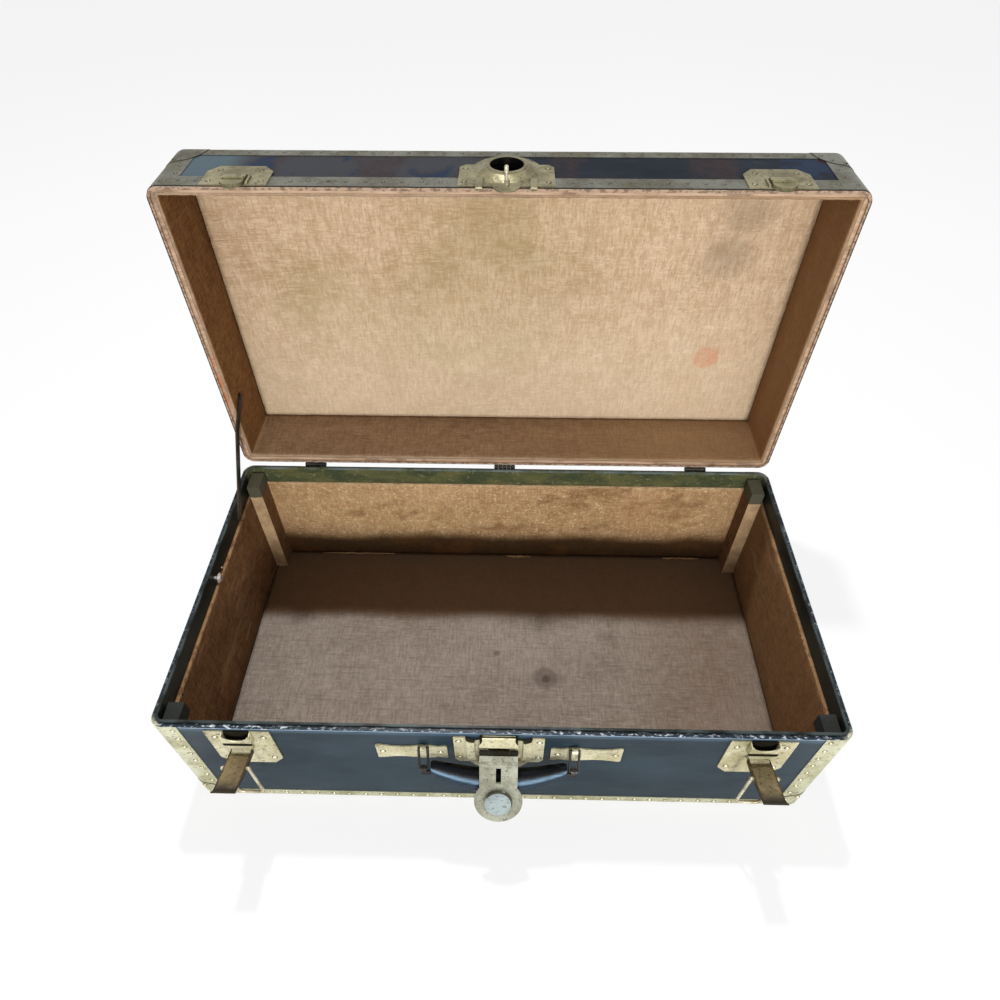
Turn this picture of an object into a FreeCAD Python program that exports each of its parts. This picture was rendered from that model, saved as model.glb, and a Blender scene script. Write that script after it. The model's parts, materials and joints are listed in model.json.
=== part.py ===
import FreeCAD, Part
import Sketcher
import math
import os

# Flat-top hand trunk, lid standing open.
# Frame: X to the right seen from the front, Y to the back, Z up; millimetres.
# Origin: middle of the footprint, on the ground under the corner caps.

V = FreeCAD.Vector
doc = FreeCAD.newDocument("hand_trunk")
sheet = doc.addObject("Spreadsheet::Sheet", "Sizes")

DRIVING = [
    # the two boxes
    ("trunk_width", 762), ("trunk_depth", 402), ("body_height", 200), ("lid_height", 102),
    ("corner_radius", 14), ("edge_radius", 8), ("lid_opening", 90),
    ("cover_skin", 1.0), ("wall_board", 6.2), ("liner_board", 3.2), ("floor_board", 6.5), ("cloth", 1.0),
    ("rim_gap", 0.3), ("lid_lip", 3.3), ("lid_recess", 3.0),
    ("valance_inset", 4.6), ("valance_low", 175), ("valance_rise", 2.8), ("valance_radius", 9.4),
    ("post_width", 18), ("post_front", 21), ("post_rear", 30), ("post_top", 195),
    # sheet-metal bindings and caps
    ("binding_skin", 0.7), ("cap_skin", 1.1), ("binding_reach", 21), ("upright_reach", 31),
    ("cap_reach", 42), ("rim_band_low", 3), ("rim_band_high", 25),
    # hinges
    ("hinge_spread", 278), ("hinge_leaf", 30), ("leaf_height", 22), ("leaf_skin", 1.2),
    ("hinge_standoff", 4), ("knuckle_radius", 3), ("pin_radius", 1.5), ("running_fit", 0.06),
    # centre lock on the body
    ("lock_half", 50), ("lock_low", 128), ("lock_high", 191), ("lock_skin", 1.5),
    ("bulge_inner", 27), ("bulge_outer", 38), ("bulge_centre", 149), ("bulge_rise", 3), ("bulge_slope", 2.5),
    ("lug_pocket_place", 27.5), ("lug_pocket_round", 9.5), ("lug_pocket_height", 194),
    ("hood_half", 21.5), ("hood_flare", 2), ("hood_high", 195.5), ("hood_low", 183), ("hood_top_out", 4.8),
    ("hood_low_out", 9.0),
    ("hood_skin", 1.3), ("hasp_out", 12), ("hasp_height", 178), ("hasp_pin", 1.25), ("hasp_barrel", 2.8),
    # hasp and lock case
    ("hasp_half", 21), ("hasp_plate", 2.2), ("hasp_disc", 27), ("hasp_rest", 149), ("hasp_middle", 11.8),
    ("slot_half", 2.9), ("slot_low", 19.5), ("slot_high", 39), ("lock_centre", 41),
    ("drum_radius", 15.6), ("drum_rise", 4.6), ("drum_fillet", 0.8), ("disc_radius", 14.4), ("disc_sink", 0.6),
    ("case_radius", 20), ("case_rise", 2.4),
    # lid lock plate and staple
    ("lid_lock_half", 51), ("lid_lock_low", 3), ("lid_lock_high", 56), ("lid_lock_round", 38),
    ("lid_lock_skin", 1.3), ("dome_base", 35.5), ("dome_step", 30.5), ("dome_step_out", 4.4),
    ("dome_crown", 24.5), ("dome_out", 7.6), ("dome_lip", 22.3), ("dome_lip_out", 8.7), ("lock_hole", 18),
    ("tongue_half", 15.5), ("tongue_drop", 13), ("tongue_out", 1.9), ("tongue_skin", 1.2),
    ("lug_place", 28.5), ("lug_half", 3.5), ("lug_drop", 7), ("lug_top", 20), ("lug_out", 4),
    ("staple_wire", 2.2), ("staple_bend", 4.8), ("staple_middle", 7.5), ("staple_out", 21),
    # drawbolts
    ("bolt_place", 286.5), ("bolt_half", 36), ("bolt_low", 112), ("bolt_high", 194), ("bolt_skin", 1.4),
    ("bolt_chamfer_x", 11), ("bolt_chamfer_z", 13), ("housing_top", 16), ("housing_foot", 12),
    ("housing_low", 168), ("housing_out", 9), ("pocket_half", 15), ("pocket_low", 173), ("pocket_out", 7.6),
    ("lever_out", 10), ("lever_height", 160), ("lever_tilt", 18), ("lever_half", 12.25),
    ("lever_skin", 1.2), ("lever_length", 50), ("lever_tip", 58), ("lever_top", 2.7), ("flange_drop", 3.2),
    ("lever_clear", 4), ("lug_outer", 10.5),
    ("bail_place", 21), ("bail_half", 14.5), ("bail_length", 70), ("wire_radius", 1.5), ("bail_bend", 8),
    ("catch_half", 35.5), ("catch_low", 2), ("catch_high", 48), ("catch_skin", 1.4),
    ("dowel_half", 12), ("dowel_drop", 8), ("dowel_top", 22), ("dowel_in", 1.8), ("dowel_out", 6),
    ("hump_height", 8), ("hump_radius", 2.2), ("ridge_inner", 13.4), ("ridge_outer", 15.6), ("ridge_out", 4.2),
    # carrying handle
    ("grip_plate_in", 58), ("grip_plate_out", 138), ("grip_plate_mid", 151), ("grip_plate_skin", 1.5),
    ("link_place", 84), ("link_out", 4), ("link_height", 167), ("link_half", 5), ("link_length", 28),
    ("link_swing", 63), ("eye_radius", 4), ("eye_half", 3.1),
    ("grip_end", 76), ("grip_reach", 42.8), ("grip_sag", 17), ("grip_major", 15), ("grip_minor", 10),
    ("grip_major_loss", 5.5), ("grip_minor_loss", 3.5),
    ("tab_low", 30.2), ("tab_high", 34.6), ("tab_half", 2), ("tab_root", 70),
    # stay
    ("stay_x", 370.2), ("stay_skin", 2), ("stay_half", 5), ("stay_pivot_y", 101), ("stay_pivot_z", 227),
    ("stay_top_angle", 32.7), ("stay_top_length", 50), ("stay_low_angle", 49), ("stay_low_length", 120),
    ("rivet_radius", 2), ("rivet_head", 4), ("stud_y", 8), ("stud_z", 186), ("stud_radius", 2),
    ("stud_head", 6.5),
]
for row, (alias, value) in enumerate(DRIVING, start=1):
    sheet.set("A%d" % row, alias)
    sheet.set("B%d" % row, str(value))
    sheet.setAlias("B%d" % row, alias)
doc.recompute()


class Size:
    """A length or angle kept together with the sheet expression that gives it."""

    def __init__(self, value, text):
        self.value = float(value)
        self.text = text

    def __add__(self, other):
        return combine(self, other, "+")

    def __radd__(self, other):
        return combine(other, self, "+")

    def __sub__(self, other):
        return combine(self, other, "-")

    def __rsub__(self, other):
        return combine(other, self, "-")

    def __mul__(self, other):
        return combine(self, other, "*")

    def __rmul__(self, other):
        return combine(other, self, "*")

    def __truediv__(self, other):
        return combine(self, other, "/")

    def __neg__(self):
        return combine(-1, self, "*")


def size(x):
    if isinstance(x, Size):
        return x
    return Size(x, "(%.8g)" % x)


def combine(a, b, sign):
    a = size(a)
    b = size(b)
    if sign == "+":
        value = a.value + b.value
    elif sign == "-":
        value = a.value - b.value
    elif sign == "*":
        value = a.value * b.value
    else:
        value = a.value / b.value
    return Size(value, "(%s %s %s)" % (a.text, sign, b.text))


def cosine(a):
    a = size(a)
    return Size(math.cos(math.radians(a.value)), "cos(%s * 1deg)" % a.text)


def sine(a):
    a = size(a)
    return Size(math.sin(math.radians(a.value)), "sin(%s * 1deg)" % a.text)


class Driving:
    """Named access to the driving sizes of the sheet."""


S = Driving()
for alias, value in DRIVING:
    setattr(S, alias, Size(value, "Sizes." + alias))


def bind(thing, prop, x):
    thing.setExpression(prop, size(x).text)


# ---- building blocks ---------------------------------------------------------------------------

PLANES = {"plan": "XY_Plane", "front": "XZ_Plane", "side": "YZ_Plane"}
WAYS = {
    "x": FreeCAD.Rotation(V(0, 1, 0), 90),
    "out": FreeCAD.Rotation(V(1, 0, 0), 90),
    "z": FreeCAD.Rotation(),
}


def prism(name, plane, points, start, end):
    """Closed outline drawn on an origin plane and padded from start to end along its normal."""
    body = doc.addObject("PartDesign::Body", name)
    origin = [f for f in body.Origin.OriginFeatures if f.Role == PLANES[plane]][0]
    sketch = body.newObject("Sketcher::SketchObject", name + "_outline")
    sketch.AttachmentSupport = (origin, [""])
    sketch.MapMode = "FlatFace"
    bind(sketch, "AttachmentOffset.Base.z", start)
    pairs = [(size(a), size(b)) for a, b in points]
    corners = [V(a.value, b.value, 0) for a, b in pairs]
    count = len(corners)
    lines = [Part.LineSegment(corners[i], corners[(i + 1) % count]) for i in range(count)]
    sketch.addGeometry(lines, False)
    for i in range(count):
        sketch.addConstraint(Sketcher.Constraint("Coincident", i, 2, (i + 1) % count, 1))
    for i, pair in enumerate(pairs):
        for kind, part in zip(("DistanceX", "DistanceY"), pair):
            k = sketch.addConstraint(Sketcher.Constraint(kind, -1, 1, i, 1, part.value))
            sketch.setExpression("Constraints[%d]" % k, part.text)
    pad = body.newObject("PartDesign::Pad", name + "_pad")
    pad.Profile = sketch
    bind(pad, "Length", size(end) - start)
    body.Tip = pad
    return body


def block(name, inset, low, high, edge="", radius=None):
    """Rounded-corner envelope of the trunk, set in by inset; edge names the end that is rounded too."""
    half_x = S.trunk_width / 2 - inset
    half_y = S.trunk_depth / 2 - inset
    outline = [(-half_x, -half_y), (half_x, -half_y), (half_x, half_y), (-half_x, half_y)]
    body = prism(name, "plan", outline, low, high)
    doc.recompute()
    pad = body.Tip
    upright = []
    for i, e in enumerate(pad.Shape.Edges, start=1):
        if abs(e.Vertexes[0].Point.z - e.Vertexes[-1].Point.z) > 0.01:
            upright.append("Edge%d" % i)
    corners = body.newObject("PartDesign::Fillet", name + "_corners")
    corners.Base = (pad, upright)
    bind(corners, "Radius", S.corner_radius - inset if radius is None else radius)
    body.Tip = corners
    if edge:
        doc.recompute()
        level = size(low if edge == "bottom" else high).value
        rim = []
        for i, e in enumerate(corners.Shape.Edges, start=1):
            if abs(e.BoundBox.ZMin - level) < 0.001 and abs(e.BoundBox.ZMax - level) < 0.001:
                rim.append("Edge%d" % i)
        rounded = body.newObject("PartDesign::Fillet", name + "_edge")
        rounded.Base = (corners, rim)
        bind(rounded, "Radius", S.edge_radius - inset)
        body.Tip = rounded
    return body


def box(name, x0, x1, y0, y1, z0, z1):
    b = doc.addObject("Part::Box", name)
    for prop, a, c in (("Length", x0, x1), ("Width", y0, y1), ("Height", z0, z1)):
        bind(b, prop, size(c) - a)
    for prop, a in (("x", x0), ("y", y0), ("z", z0)):
        bind(b, "Placement.Base." + prop, a)
    return b


def rod(name, way, x, y, z, radius, length):
    c = doc.addObject("Part::Cylinder", name)
    c.Placement = FreeCAD.Placement(V(), WAYS[way])
    bind(c, "Radius", radius)
    bind(c, "Height", length)
    for prop, a in (("x", x), ("y", y), ("z", z)):
        bind(c, "Placement.Base." + prop, a)
    return c


def cone(name, way, x, y, z, first, last, length):
    c = doc.addObject("Part::Cone", name)
    c.Placement = FreeCAD.Placement(V(), WAYS[way])
    bind(c, "Radius1", first)
    bind(c, "Radius2", last)
    bind(c, "Height", length)
    for prop, a in (("x", x), ("y", y), ("z", z)):
        bind(c, "Placement.Base." + prop, a)
    return c


def ball(name, x, y, z, radius):
    b = doc.addObject("Part::Sphere", name)
    bind(b, "Radius", radius)
    for prop, a in (("x", x), ("y", y), ("z", z)):
        bind(b, "Placement.Base." + prop, a)
    return b


def fuse(name, parts):
    if len(parts) == 1:
        return parts[0]
    f = doc.addObject("Part::MultiFuse", name)
    f.Shapes = parts
    f.Refine = True
    return f


def cut(name, base, tools):
    c = doc.addObject("Part::Cut", name)
    c.Base = base
    c.Tool = fuse(name + "_tools", tools)
    return c


def common(name, a, b):
    c = doc.addObject("Part::MultiCommon", name)
    c.Shapes = [a, b]
    return c


def group(name, parts):
    c = doc.addObject("Part::Compound", name)
    c.Links = parts
    return c


def turned(name, thing, y, z, angle):
    """The thing turned by angle about the line through (y, z) along X."""
    y = size(y)
    z = size(z)
    angle = size(angle)
    c = group(name, [thing])
    c.Placement = FreeCAD.Placement(V(), FreeCAD.Rotation(V(1, 0, 0), 10))
    bind(c, "Placement.Rotation.Angle", angle)
    bind(c, "Placement.Base.y", y - y * cosine(angle) + z * sine(angle))
    bind(c, "Placement.Base.z", z - y * sine(angle) - z * cosine(angle))
    return c


def out(distance):
    """Y of a plane standing this far out from the front face."""
    return -(S.trunk_depth / 2 + distance)


NODES = {}


def node(name, thing):
    NODES[name] = thing


def lid_node(name, thing):
    """A lid piece is drawn closed and then swung open about the hinge line."""
    NODES[name] = turned(name + "_open", thing, axis_y, axis_z, -S.lid_opening)


half_w = S.trunk_width / 2
half_d = S.trunk_depth / 2
axis_y = half_d + S.hinge_standoff
axis_z = S.body_height
wall_in = S.cover_skin + S.wall_board
liner_in = wall_in + S.liner_board

# ---- body box ----------------------------------------------------------------------------------

cover_low = S.cap_skin
wood_low = cover_low + S.cover_skin
board_top = wood_low + S.floor_board
lining_top = board_top + S.cloth
rim = S.body_height
wood_top = rim - S.cover_skin
far = 40

wood_solid = block("body_wood_envelope", S.cover_skin, wood_low, wood_top, "bottom")
hollow = box("body_hollow", wall_in - half_w, half_w - wall_in, wall_in - half_d, half_d - wall_in,
             board_top, rim + far)
valance_seat = block("valance_seat", S.valance_inset, S.valance_low, rim + S.valance_rise, "", S.valance_radius)
wood_shell = cut("body_wood_shell", wood_solid, [hollow, valance_seat])

regions = {
    "body_floor_board": (-half_w, half_w, -half_d, half_d, wood_low - 1, board_top),
    "body_front_wall": (-half_w, half_w, -half_d, wall_in - half_d, board_top, rim),
    "body_back_wall": (-half_w, half_w, half_d - wall_in, half_d, board_top, rim),
    "body_left_wall": (-half_w, wall_in - half_w, wall_in - half_d, half_d - wall_in, board_top, rim),
    "body_right_wall": (half_w - wall_in, half_w, wall_in - half_d, half_d - wall_in, board_top, rim),
}
for name, r in regions.items():
    node(name, common(name, wood_shell, box(name + "_region", *r)))

cover_solid = block("body_cover_envelope", 0, cover_low, rim, "bottom")
cover_mouth = block("body_cover_mouth", S.valance_inset, rim - far, rim + 1, "", S.valance_radius)
node("body_cover", cut("body_cover", cover_solid, [wood_solid, cover_mouth]))

valance_inner = block("valance_inner", wall_in, S.valance_low - 1, rim + far, "", S.valance_radius - 2.6)
node("body_valance", cut("body_valance", valance_seat, [valance_inner]))

liner_outer = box("body_liner_outer", wall_in - half_w, half_w - wall_in, wall_in - half_d, half_d - wall_in,
                  board_top, S.valance_low)
liner_inner = box("body_liner_inner", liner_in - half_w, half_w - liner_in, liner_in - half_d,
                  half_d - liner_in, board_top - 1, rim)
node("body_liner", cut("body_liner", liner_outer, [liner_inner]))
node("body_floor_lining", box("body_floor_lining", liner_in - half_w, half_w - liner_in,
                              liner_in - half_d, half_d - liner_in, board_top, lining_top))

posts = []
inside_x = half_w - liner_in
inside_y = half_d - liner_in
for side, x0 in (("left", -inside_x), ("right", inside_x - S.post_width)):
    posts.append(box("post_front_" + side, x0, x0 + S.post_width, -inside_y, S.post_front - inside_y,
                     lining_top, S.post_top))
    posts.append(box("post_rear_" + side, x0, x0 + S.post_width, inside_y - S.post_rear, inside_y,
                     lining_top, S.post_top))
node("corner_posts", group("corner_posts", posts))

# ---- body bindings and caps --------------------------------------------------------------------


def corner_balls(name, level):
    balls = []
    for i, (sx, sy) in enumerate(((-1, -1), (1, -1), (1, 1), (-1, 1))):
        balls.append(ball("%s_%d" % (name, i), half_w * sx, half_d * sy, level, S.cap_reach))
    return fuse(name, balls)


def corner_boxes(name, low, high):
    boxes = []
    reach = S.upright_reach
    for i, (sx, sy) in enumerate(((-1, -1), (1, -1), (1, 1), (-1, 1))):
        x0 = -half_w - 3 if sx < 0 else half_w - reach
        y0 = -half_d - 3 if sy < 0 else half_d - reach
        boxes.append(box("%s_%d" % (name, i), x0, x0 + reach + 3, y0, y0 + reach + 3, low, high))
    return fuse(name, boxes)


thin = S.binding_skin
thick = S.cap_skin
body_core = block("body_core", 0, cover_low, rim + far, "bottom")
body_balls = corner_balls("body_balls", cover_low)
under = box("body_under", S.binding_reach - half_w, half_w - S.binding_reach, S.binding_reach - half_d,
            half_d - S.binding_reach, -1, cover_low + 1)
band = block("body_band", -thin, cover_low - thin, S.binding_reach, "bottom")
node("body_bottom_binding", cut("body_bottom_binding", band, [body_core, under, body_balls]))
upright = block("body_upright", -thin, cover_low - thin, rim - 0.4, "bottom")
upright_shell = cut("body_upright_shell", upright, [body_core, body_balls])
body_corners = corner_boxes("body_corner_boxes", S.binding_reach, rim)
node("body_corner_bindings", common("body_corner_bindings", upright_shell, body_corners))
cap = block("body_cap", -thick, 0, S.cap_reach + 5, "bottom")
cap_shell = cut("body_cap_shell", cap, [body_core])
node("body_corner_caps", common("body_corner_caps", cap_shell, body_balls))

# ---- lid box (drawn closed) --------------------------------------------------------------------

lid_top = rim + S.lid_height
lid_low = rim + S.rim_gap
lid_wood_low = lid_low + S.cover_skin
lid_inner_low = lid_low + S.lid_recess
lid_board = lid_top - S.cover_skin - S.floor_board
hole_z = rim + S.lock_centre
lock_bore = rod("lid_lock_bore", "out", 0, 6.2 - half_d, hole_z, S.lock_hole, 20)

lid_wood = block("lid_wood_envelope", S.cover_skin, lid_wood_low, lid_top - S.cover_skin, "top")
lid_hollow = box("lid_hollow", wall_in - half_w, half_w - wall_in, wall_in - half_d, half_d - wall_in,
                 rim - 5, lid_board)
lid_rebate = block("lid_rebate", S.lid_lip, rim - 5, lid_inner_low, "", S.corner_radius - S.lid_lip)
lid_wood_shell = cut("lid_wood_shell", lid_wood, [lid_hollow, lid_rebate, lock_bore])
lid_regions = {
    "lid_top_board": (-half_w, half_w, -half_d, half_d, lid_board, lid_top),
    "lid_front_wall": (-half_w, half_w, -half_d, wall_in - half_d, rim, lid_board),
    "lid_back_wall": (-half_w, half_w, half_d - wall_in, half_d, rim, lid_board),
    "lid_left_wall": (-half_w, wall_in - half_w, wall_in - half_d, half_d - wall_in, rim, lid_board),
    "lid_right_wall": (half_w - wall_in, half_w, wall_in - half_d, half_d - wall_in, rim, lid_board),
}
for name, r in lid_regions.items():
    lid_node(name, common(name, lid_wood_shell, box(name + "_region", *r)))

lid_skin = block("lid_cover_envelope", 0, lid_low, lid_top, "top")
lid_mouth = block("lid_cover_mouth", S.lid_lip, rim - 5, lid_inner_low, "", S.corner_radius - S.lid_lip)
lid_node("lid_cover", cut("lid_cover", lid_skin, [lid_wood, lid_mouth, lock_bore]))

lid_liner_outer = box("lid_liner_outer", wall_in - half_w, half_w - wall_in, wall_in - half_d,
                      half_d - wall_in, lid_inner_low, lid_board)
lid_liner_inner = box("lid_liner_inner", -inside_x, inside_x, -inside_y, inside_y, rim, lid_board + 1)
lid_node("lid_liner", cut("lid_liner", lid_liner_outer, [lid_liner_inner]))
lid_node("lid_top_lining", box("lid_top_lining", -inside_x, inside_x, -inside_y, inside_y,
                               lid_board - S.cloth, lid_board))

lid_core = block("lid_core", 0, rim - far, lid_top, "top")
lid_balls = corner_balls("lid_balls", lid_top)
lid_over = box("lid_over", S.binding_reach - half_w, half_w - S.binding_reach, S.binding_reach - half_d,
               half_d - S.binding_reach, lid_top - 1, lid_top + 5)
top_band = block("lid_top_band", -thin, lid_top - S.binding_reach, lid_top + thin, "top")
lid_node("lid_top_binding", cut("lid_top_binding", top_band, [lid_core, lid_over, lid_balls]))
rim_band = block("lid_rim_band", -thin, rim + S.rim_band_low, rim + S.rim_band_high)
lid_node("lid_rim_binding", cut("lid_rim_binding", rim_band, [lid_core, lock_bore]))
lid_upright = block("lid_upright", -thin, rim + S.rim_band_high, lid_top + thin, "top")
lid_upright_shell = cut("lid_upright_shell", lid_upright, [lid_core, lid_balls])
lid_corners = corner_boxes("lid_corner_boxes", rim + S.rim_band_high, lid_top - S.binding_reach)
lid_node("lid_corner_bindings", common("lid_corner_bindings", lid_upright_shell, lid_corners))
lid_cap = block("lid_cap", -thick, lid_top - S.cap_reach - 5, lid_top + thick, "top")
lid_cap_shell = cut("lid_cap_shell", lid_cap, [lid_core])
lid_node("lid_corner_caps", common("lid_corner_caps", lid_cap_shell, lid_balls))

# ---- hinges ------------------------------------------------------------------------------------

body_leaves = []
lid_leaves = []
pins = []
knuckles = [(-15, -9.15, 0), (-8.85, -3.15, 1), (-2.85, 2.85, 0), (3.15, 8.85, 1), (9.15, 15, 0)]
lid_face = half_d + thin
for h, place in enumerate((-S.hinge_spread, size(0), S.hinge_spread)):
    wide = S.hinge_leaf / 2
    reach = S.knuckle_radius
    flap = [box("body_flap_%d" % h, place - wide, place + wide, half_d, half_d + S.leaf_skin,
                rim - S.leaf_height - 2.2, rim - 2.2)]
    lid_flap = [box("lid_flap_%d" % h, place - wide, place + wide, lid_face, lid_face + S.leaf_skin,
                    rim + reach, rim + reach + S.leaf_height)]
    for k, (a, b, on_lid) in enumerate(knuckles):
        tag = "%d_%d" % (h, k)
        barrel = rod("barrel_" + tag, "x", place + a, axis_y, axis_z, reach, b - a)
        if on_lid:
            web = box("web_" + tag, place + a, place + b, lid_face, axis_y, rim + 1.8, rim + reach + 0.4)
            lid_flap.extend([barrel, web])
        else:
            web = box("web_" + tag, place + a, place + b, half_d, axis_y, rim - 3.1, rim - 1.8)
            flap.extend([barrel, web])
    pin_hole = rod("pin_hole_%d" % h, "x", place - 20, axis_y, axis_z, S.pin_radius, 40)
    loose_hole = rod("loose_hole_%d" % h, "x", place - 20, axis_y, axis_z, S.pin_radius + S.running_fit, 40)
    body_leaves.append(cut("body_leaf_%d" % h, fuse("body_leaf_solid_%d" % h, flap), [pin_hole]))
    lid_leaves.append(cut("lid_leaf_%d" % h, fuse("lid_leaf_solid_%d" % h, lid_flap), [loose_hole]))
    pins.append(rod("hinge_pin_%d" % h, "x", place - wide - 0.4, axis_y, axis_z, S.pin_radius,
                    S.hinge_leaf + 0.8))
node("hinge_leaves_body", group("hinge_leaves_body", body_leaves))
node("hinge_pins", group("hinge_pins", pins))
lid_node("hinge_leaves_lid", group("hinge_leaves_lid", lid_leaves))

# ---- lock plate on the body --------------------------------------------------------------------

front = S.trunk_depth / 2


def plate(name, points, low_out, high_out):
    """Sheet piece on the front: outline in X and Z, thickness between two stand-offs."""
    return prism(name, "front", points, front + low_out, front + high_out)


def strip(name, points, x0, x1):
    """Piece drawn in side view: outline given as (stand-off, Z), swept from x0 to x1."""
    return prism(name, "side", [(out(a), b) for a, b in points], x0, x1)


half = S.lock_half
foot = S.lock_low
lock_back = plate("lock_back", [(-half + 5, foot), (half - 5, foot), (half, foot + 6), (half, S.lock_high),
                                (-half, S.lock_high), (-half, foot + 6)], 0, S.lock_skin)


def horseshoe(name, radius, slope, low_out, high_out):
    """Raised or sunk ground round the hasp's foot: round below, straight up to the plate's top edge."""
    inner = radius - slope
    rise = size(high_out) - low_out
    lower = cone(name + "_round", "out", 0, out(low_out), S.bulge_centre, radius, inner, rise)
    upper = prism(name + "_upper", "plan", [(-radius, out(low_out)), (-inner, out(high_out)),
                                            (inner, out(high_out)), (radius, out(low_out))],
                  S.bulge_centre, S.lock_high)
    return fuse(name, [lower, upper])


bulge_out = S.lock_skin + S.bulge_rise
raised = horseshoe("lock_bulge", S.bulge_outer, S.bulge_slope, S.lock_skin - 0.2, bulge_out)
sunk = horseshoe("lock_bulge_floor", S.bulge_inner - 1, -1.5, S.lock_skin, bulge_out + 1)
bulges = cut("lock_bulges", raised, [sunk])
lug_pockets = []
for i, x in enumerate((-S.lug_pocket_place, S.lug_pocket_place)):
    lug_pockets.append(rod("lug_pocket_%d" % i, "out", x, out(-1), S.lug_pocket_height, S.lug_pocket_round, 12))
ground = cut("lock_ground", fuse("lock_ground_solid", [lock_back, bulges]), lug_pockets)
hood_top = S.hood_top_out
hood_foot = S.hood_low_out
hood_block = strip("lock_hood_block", [(0.5, S.hood_high), (hood_top, S.hood_high), (hood_foot, S.hood_low),
                                       (0.5, S.hood_low)], -S.hood_half, S.hood_half)
hood_narrow = S.hood_half - S.hood_flare
hood_face = plate("lock_hood_face", [(-S.hood_half, S.hood_low - 1), (S.hood_half, S.hood_low - 1),
                                     (hood_narrow, S.hood_high + 1), (-hood_narrow, S.hood_high + 1)], 0, 20)
hood = common("lock_hood", hood_block, hood_face)
inner_half = hood_narrow - S.hood_skin
hood_void = strip("lock_hood_void", [(S.lock_skin, S.hood_high + 5),
                                     (hood_top - S.hood_skin - 1.5, S.hood_high + 5),
                                     (hood_top - S.hood_skin, S.hood_high),
                                     (hood_foot - S.hood_skin, S.hood_low),
                                     (hood_foot - S.hood_skin, S.hood_low - 1), (S.lock_skin, S.hood_low - 1)],
                  -inner_half, inner_half)
hood_shell = cut("lock_hood_shell", hood, [hood_void])
hasp_y = out(S.hasp_out)
hasp_z = S.hasp_height
middle = S.hasp_middle - 0.3
knuckle = rod("hasp_knuckle", "x", -middle, hasp_y, hasp_z, S.hasp_barrel, middle * 2)
arm = box("hasp_arm", -middle, middle, hasp_y, out(1), hasp_z - 2.4, hasp_z + 1.6)
pin_bore = rod("hasp_pin_bore", "x", -30, hasp_y, hasp_z, S.hasp_pin, 60)
lock_solid = fuse("lock_solid", [ground, hood_shell, knuckle, arm])
node("lock_plate", cut("lock_plate", lock_solid, [pin_bore]))
node("hasp_pin", rod("hasp_pin", "x", -S.hasp_half - 0.5, hasp_y, hasp_z, S.hasp_pin, S.hasp_half * 2 + 1))

# ---- hasp (drawn closed, upright) and its lock --------------------------------------------------

face_in = S.hasp_out - S.hasp_plate / 2
face_out = S.hasp_out + S.hasp_plate / 2
clear = hasp_z + S.hasp_barrel + 1
neck = plate("hasp_neck", [(-S.hasp_half, clear), (S.hasp_half, clear), (S.hasp_half, hole_z - 20),
                           (S.hasp_half - 4, hole_z), (4 - S.hasp_half, hole_z), (-S.hasp_half, hole_z - 20)],
             face_in, face_out)
pieces = [neck]
for side, x0 in (("left", -S.hasp_half), ("right", S.hasp_middle)):
    wide = S.hasp_half - S.hasp_middle
    pieces.append(rod("hasp_barrel_" + side, "x", x0, hasp_y, hasp_z, S.hasp_barrel, wide))
    pieces.append(box("hasp_shoulder_" + side, x0, x0 + wide, out(face_out), out(face_in), hasp_z, clear + 1))
pieces.append(rod("hasp_round", "out", 0, out(face_in), hole_z, S.hasp_disc, S.hasp_plate))
holes = [
    rod("hasp_bore", "x", -30, hasp_y, hasp_z, S.hasp_pin + S.running_fit, 60),
    box("hasp_slot", -S.slot_half, S.slot_half, out(face_out + 5), out(0), hasp_z + S.slot_low,
        hasp_z + S.slot_high),
]
hasp_closed = cut("hasp_closed", fuse("hasp_solid", pieces), holes)
node("hasp", turned("hasp", hasp_closed, hasp_y, hasp_z, S.hasp_rest))
drum_face = face_in - S.drum_rise
drum_wall = rod("lock_drum_wall", "out", 0, out(drum_face + S.drum_fillet), hole_z, S.drum_radius,
                S.drum_rise - S.drum_fillet)
drum_edge = cone("lock_drum_edge", "out", 0, out(drum_face), hole_z, S.drum_radius - S.drum_fillet,
                 S.drum_radius, S.drum_fillet)
drum_sink = rod("lock_drum_sink", "out", 0, out(drum_face - 1), hole_z, S.disc_radius, S.disc_sink + 1)
bolt_tab = box("lock_bolt_tab", 3.5, 7.5, out(face_in), out(drum_face + 1.2), hole_z - 15.8, hole_z - 11)
drum = cut("lock_drum", fuse("lock_drum_solid", [drum_wall, drum_edge, bolt_tab]), [drum_sink])
rivets = []
for i, (dx, dz) in enumerate(((-8, -3), (8, 3))):
    rivets.append(rod("lock_disc_eye_%d" % i, "out", dx, out(0), hole_z + dz, 1.4, 20))
disc_seat = drum_face + S.disc_sink
disc = rod("lock_disc_round", "out", 0, out(disc_seat - S.disc_sink), hole_z, S.disc_radius - 0.2, S.disc_sink)
disc_closed = cut("lock_disc", disc, rivets)
node("lock_back_disc", turned("lock_back_disc", disc_closed, hasp_y, hasp_z, S.hasp_rest))
case_low = rod("lock_case_low", "out", 0, out(face_out), hole_z, S.case_radius, S.case_rise / 2)
case_top = cone("lock_case_top", "out", 0, out(face_out + S.case_rise / 2), hole_z, S.case_radius,
                S.case_radius - 3, S.case_rise / 2)
key_round = rod("key_round", "out", 0, out(face_out + 0.8), hole_z + 2, 2.4, 10)
key_slot = box("key_slot", -1.1, 1.1, out(face_out + 10), out(face_out + 0.8), hole_z - 6,
               hole_z + 2)
case_front = cut("lock_case_front", fuse("lock_case_solid", [case_low, case_top]), [key_round, key_slot])
case_closed = group("lock_case_closed", [case_front, drum])
node("lock_case", turned("lock_case", case_closed, hasp_y, hasp_z, S.hasp_rest))

# ---- lock plate and staple on the lid (drawn closed) --------------------------------------------

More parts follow.
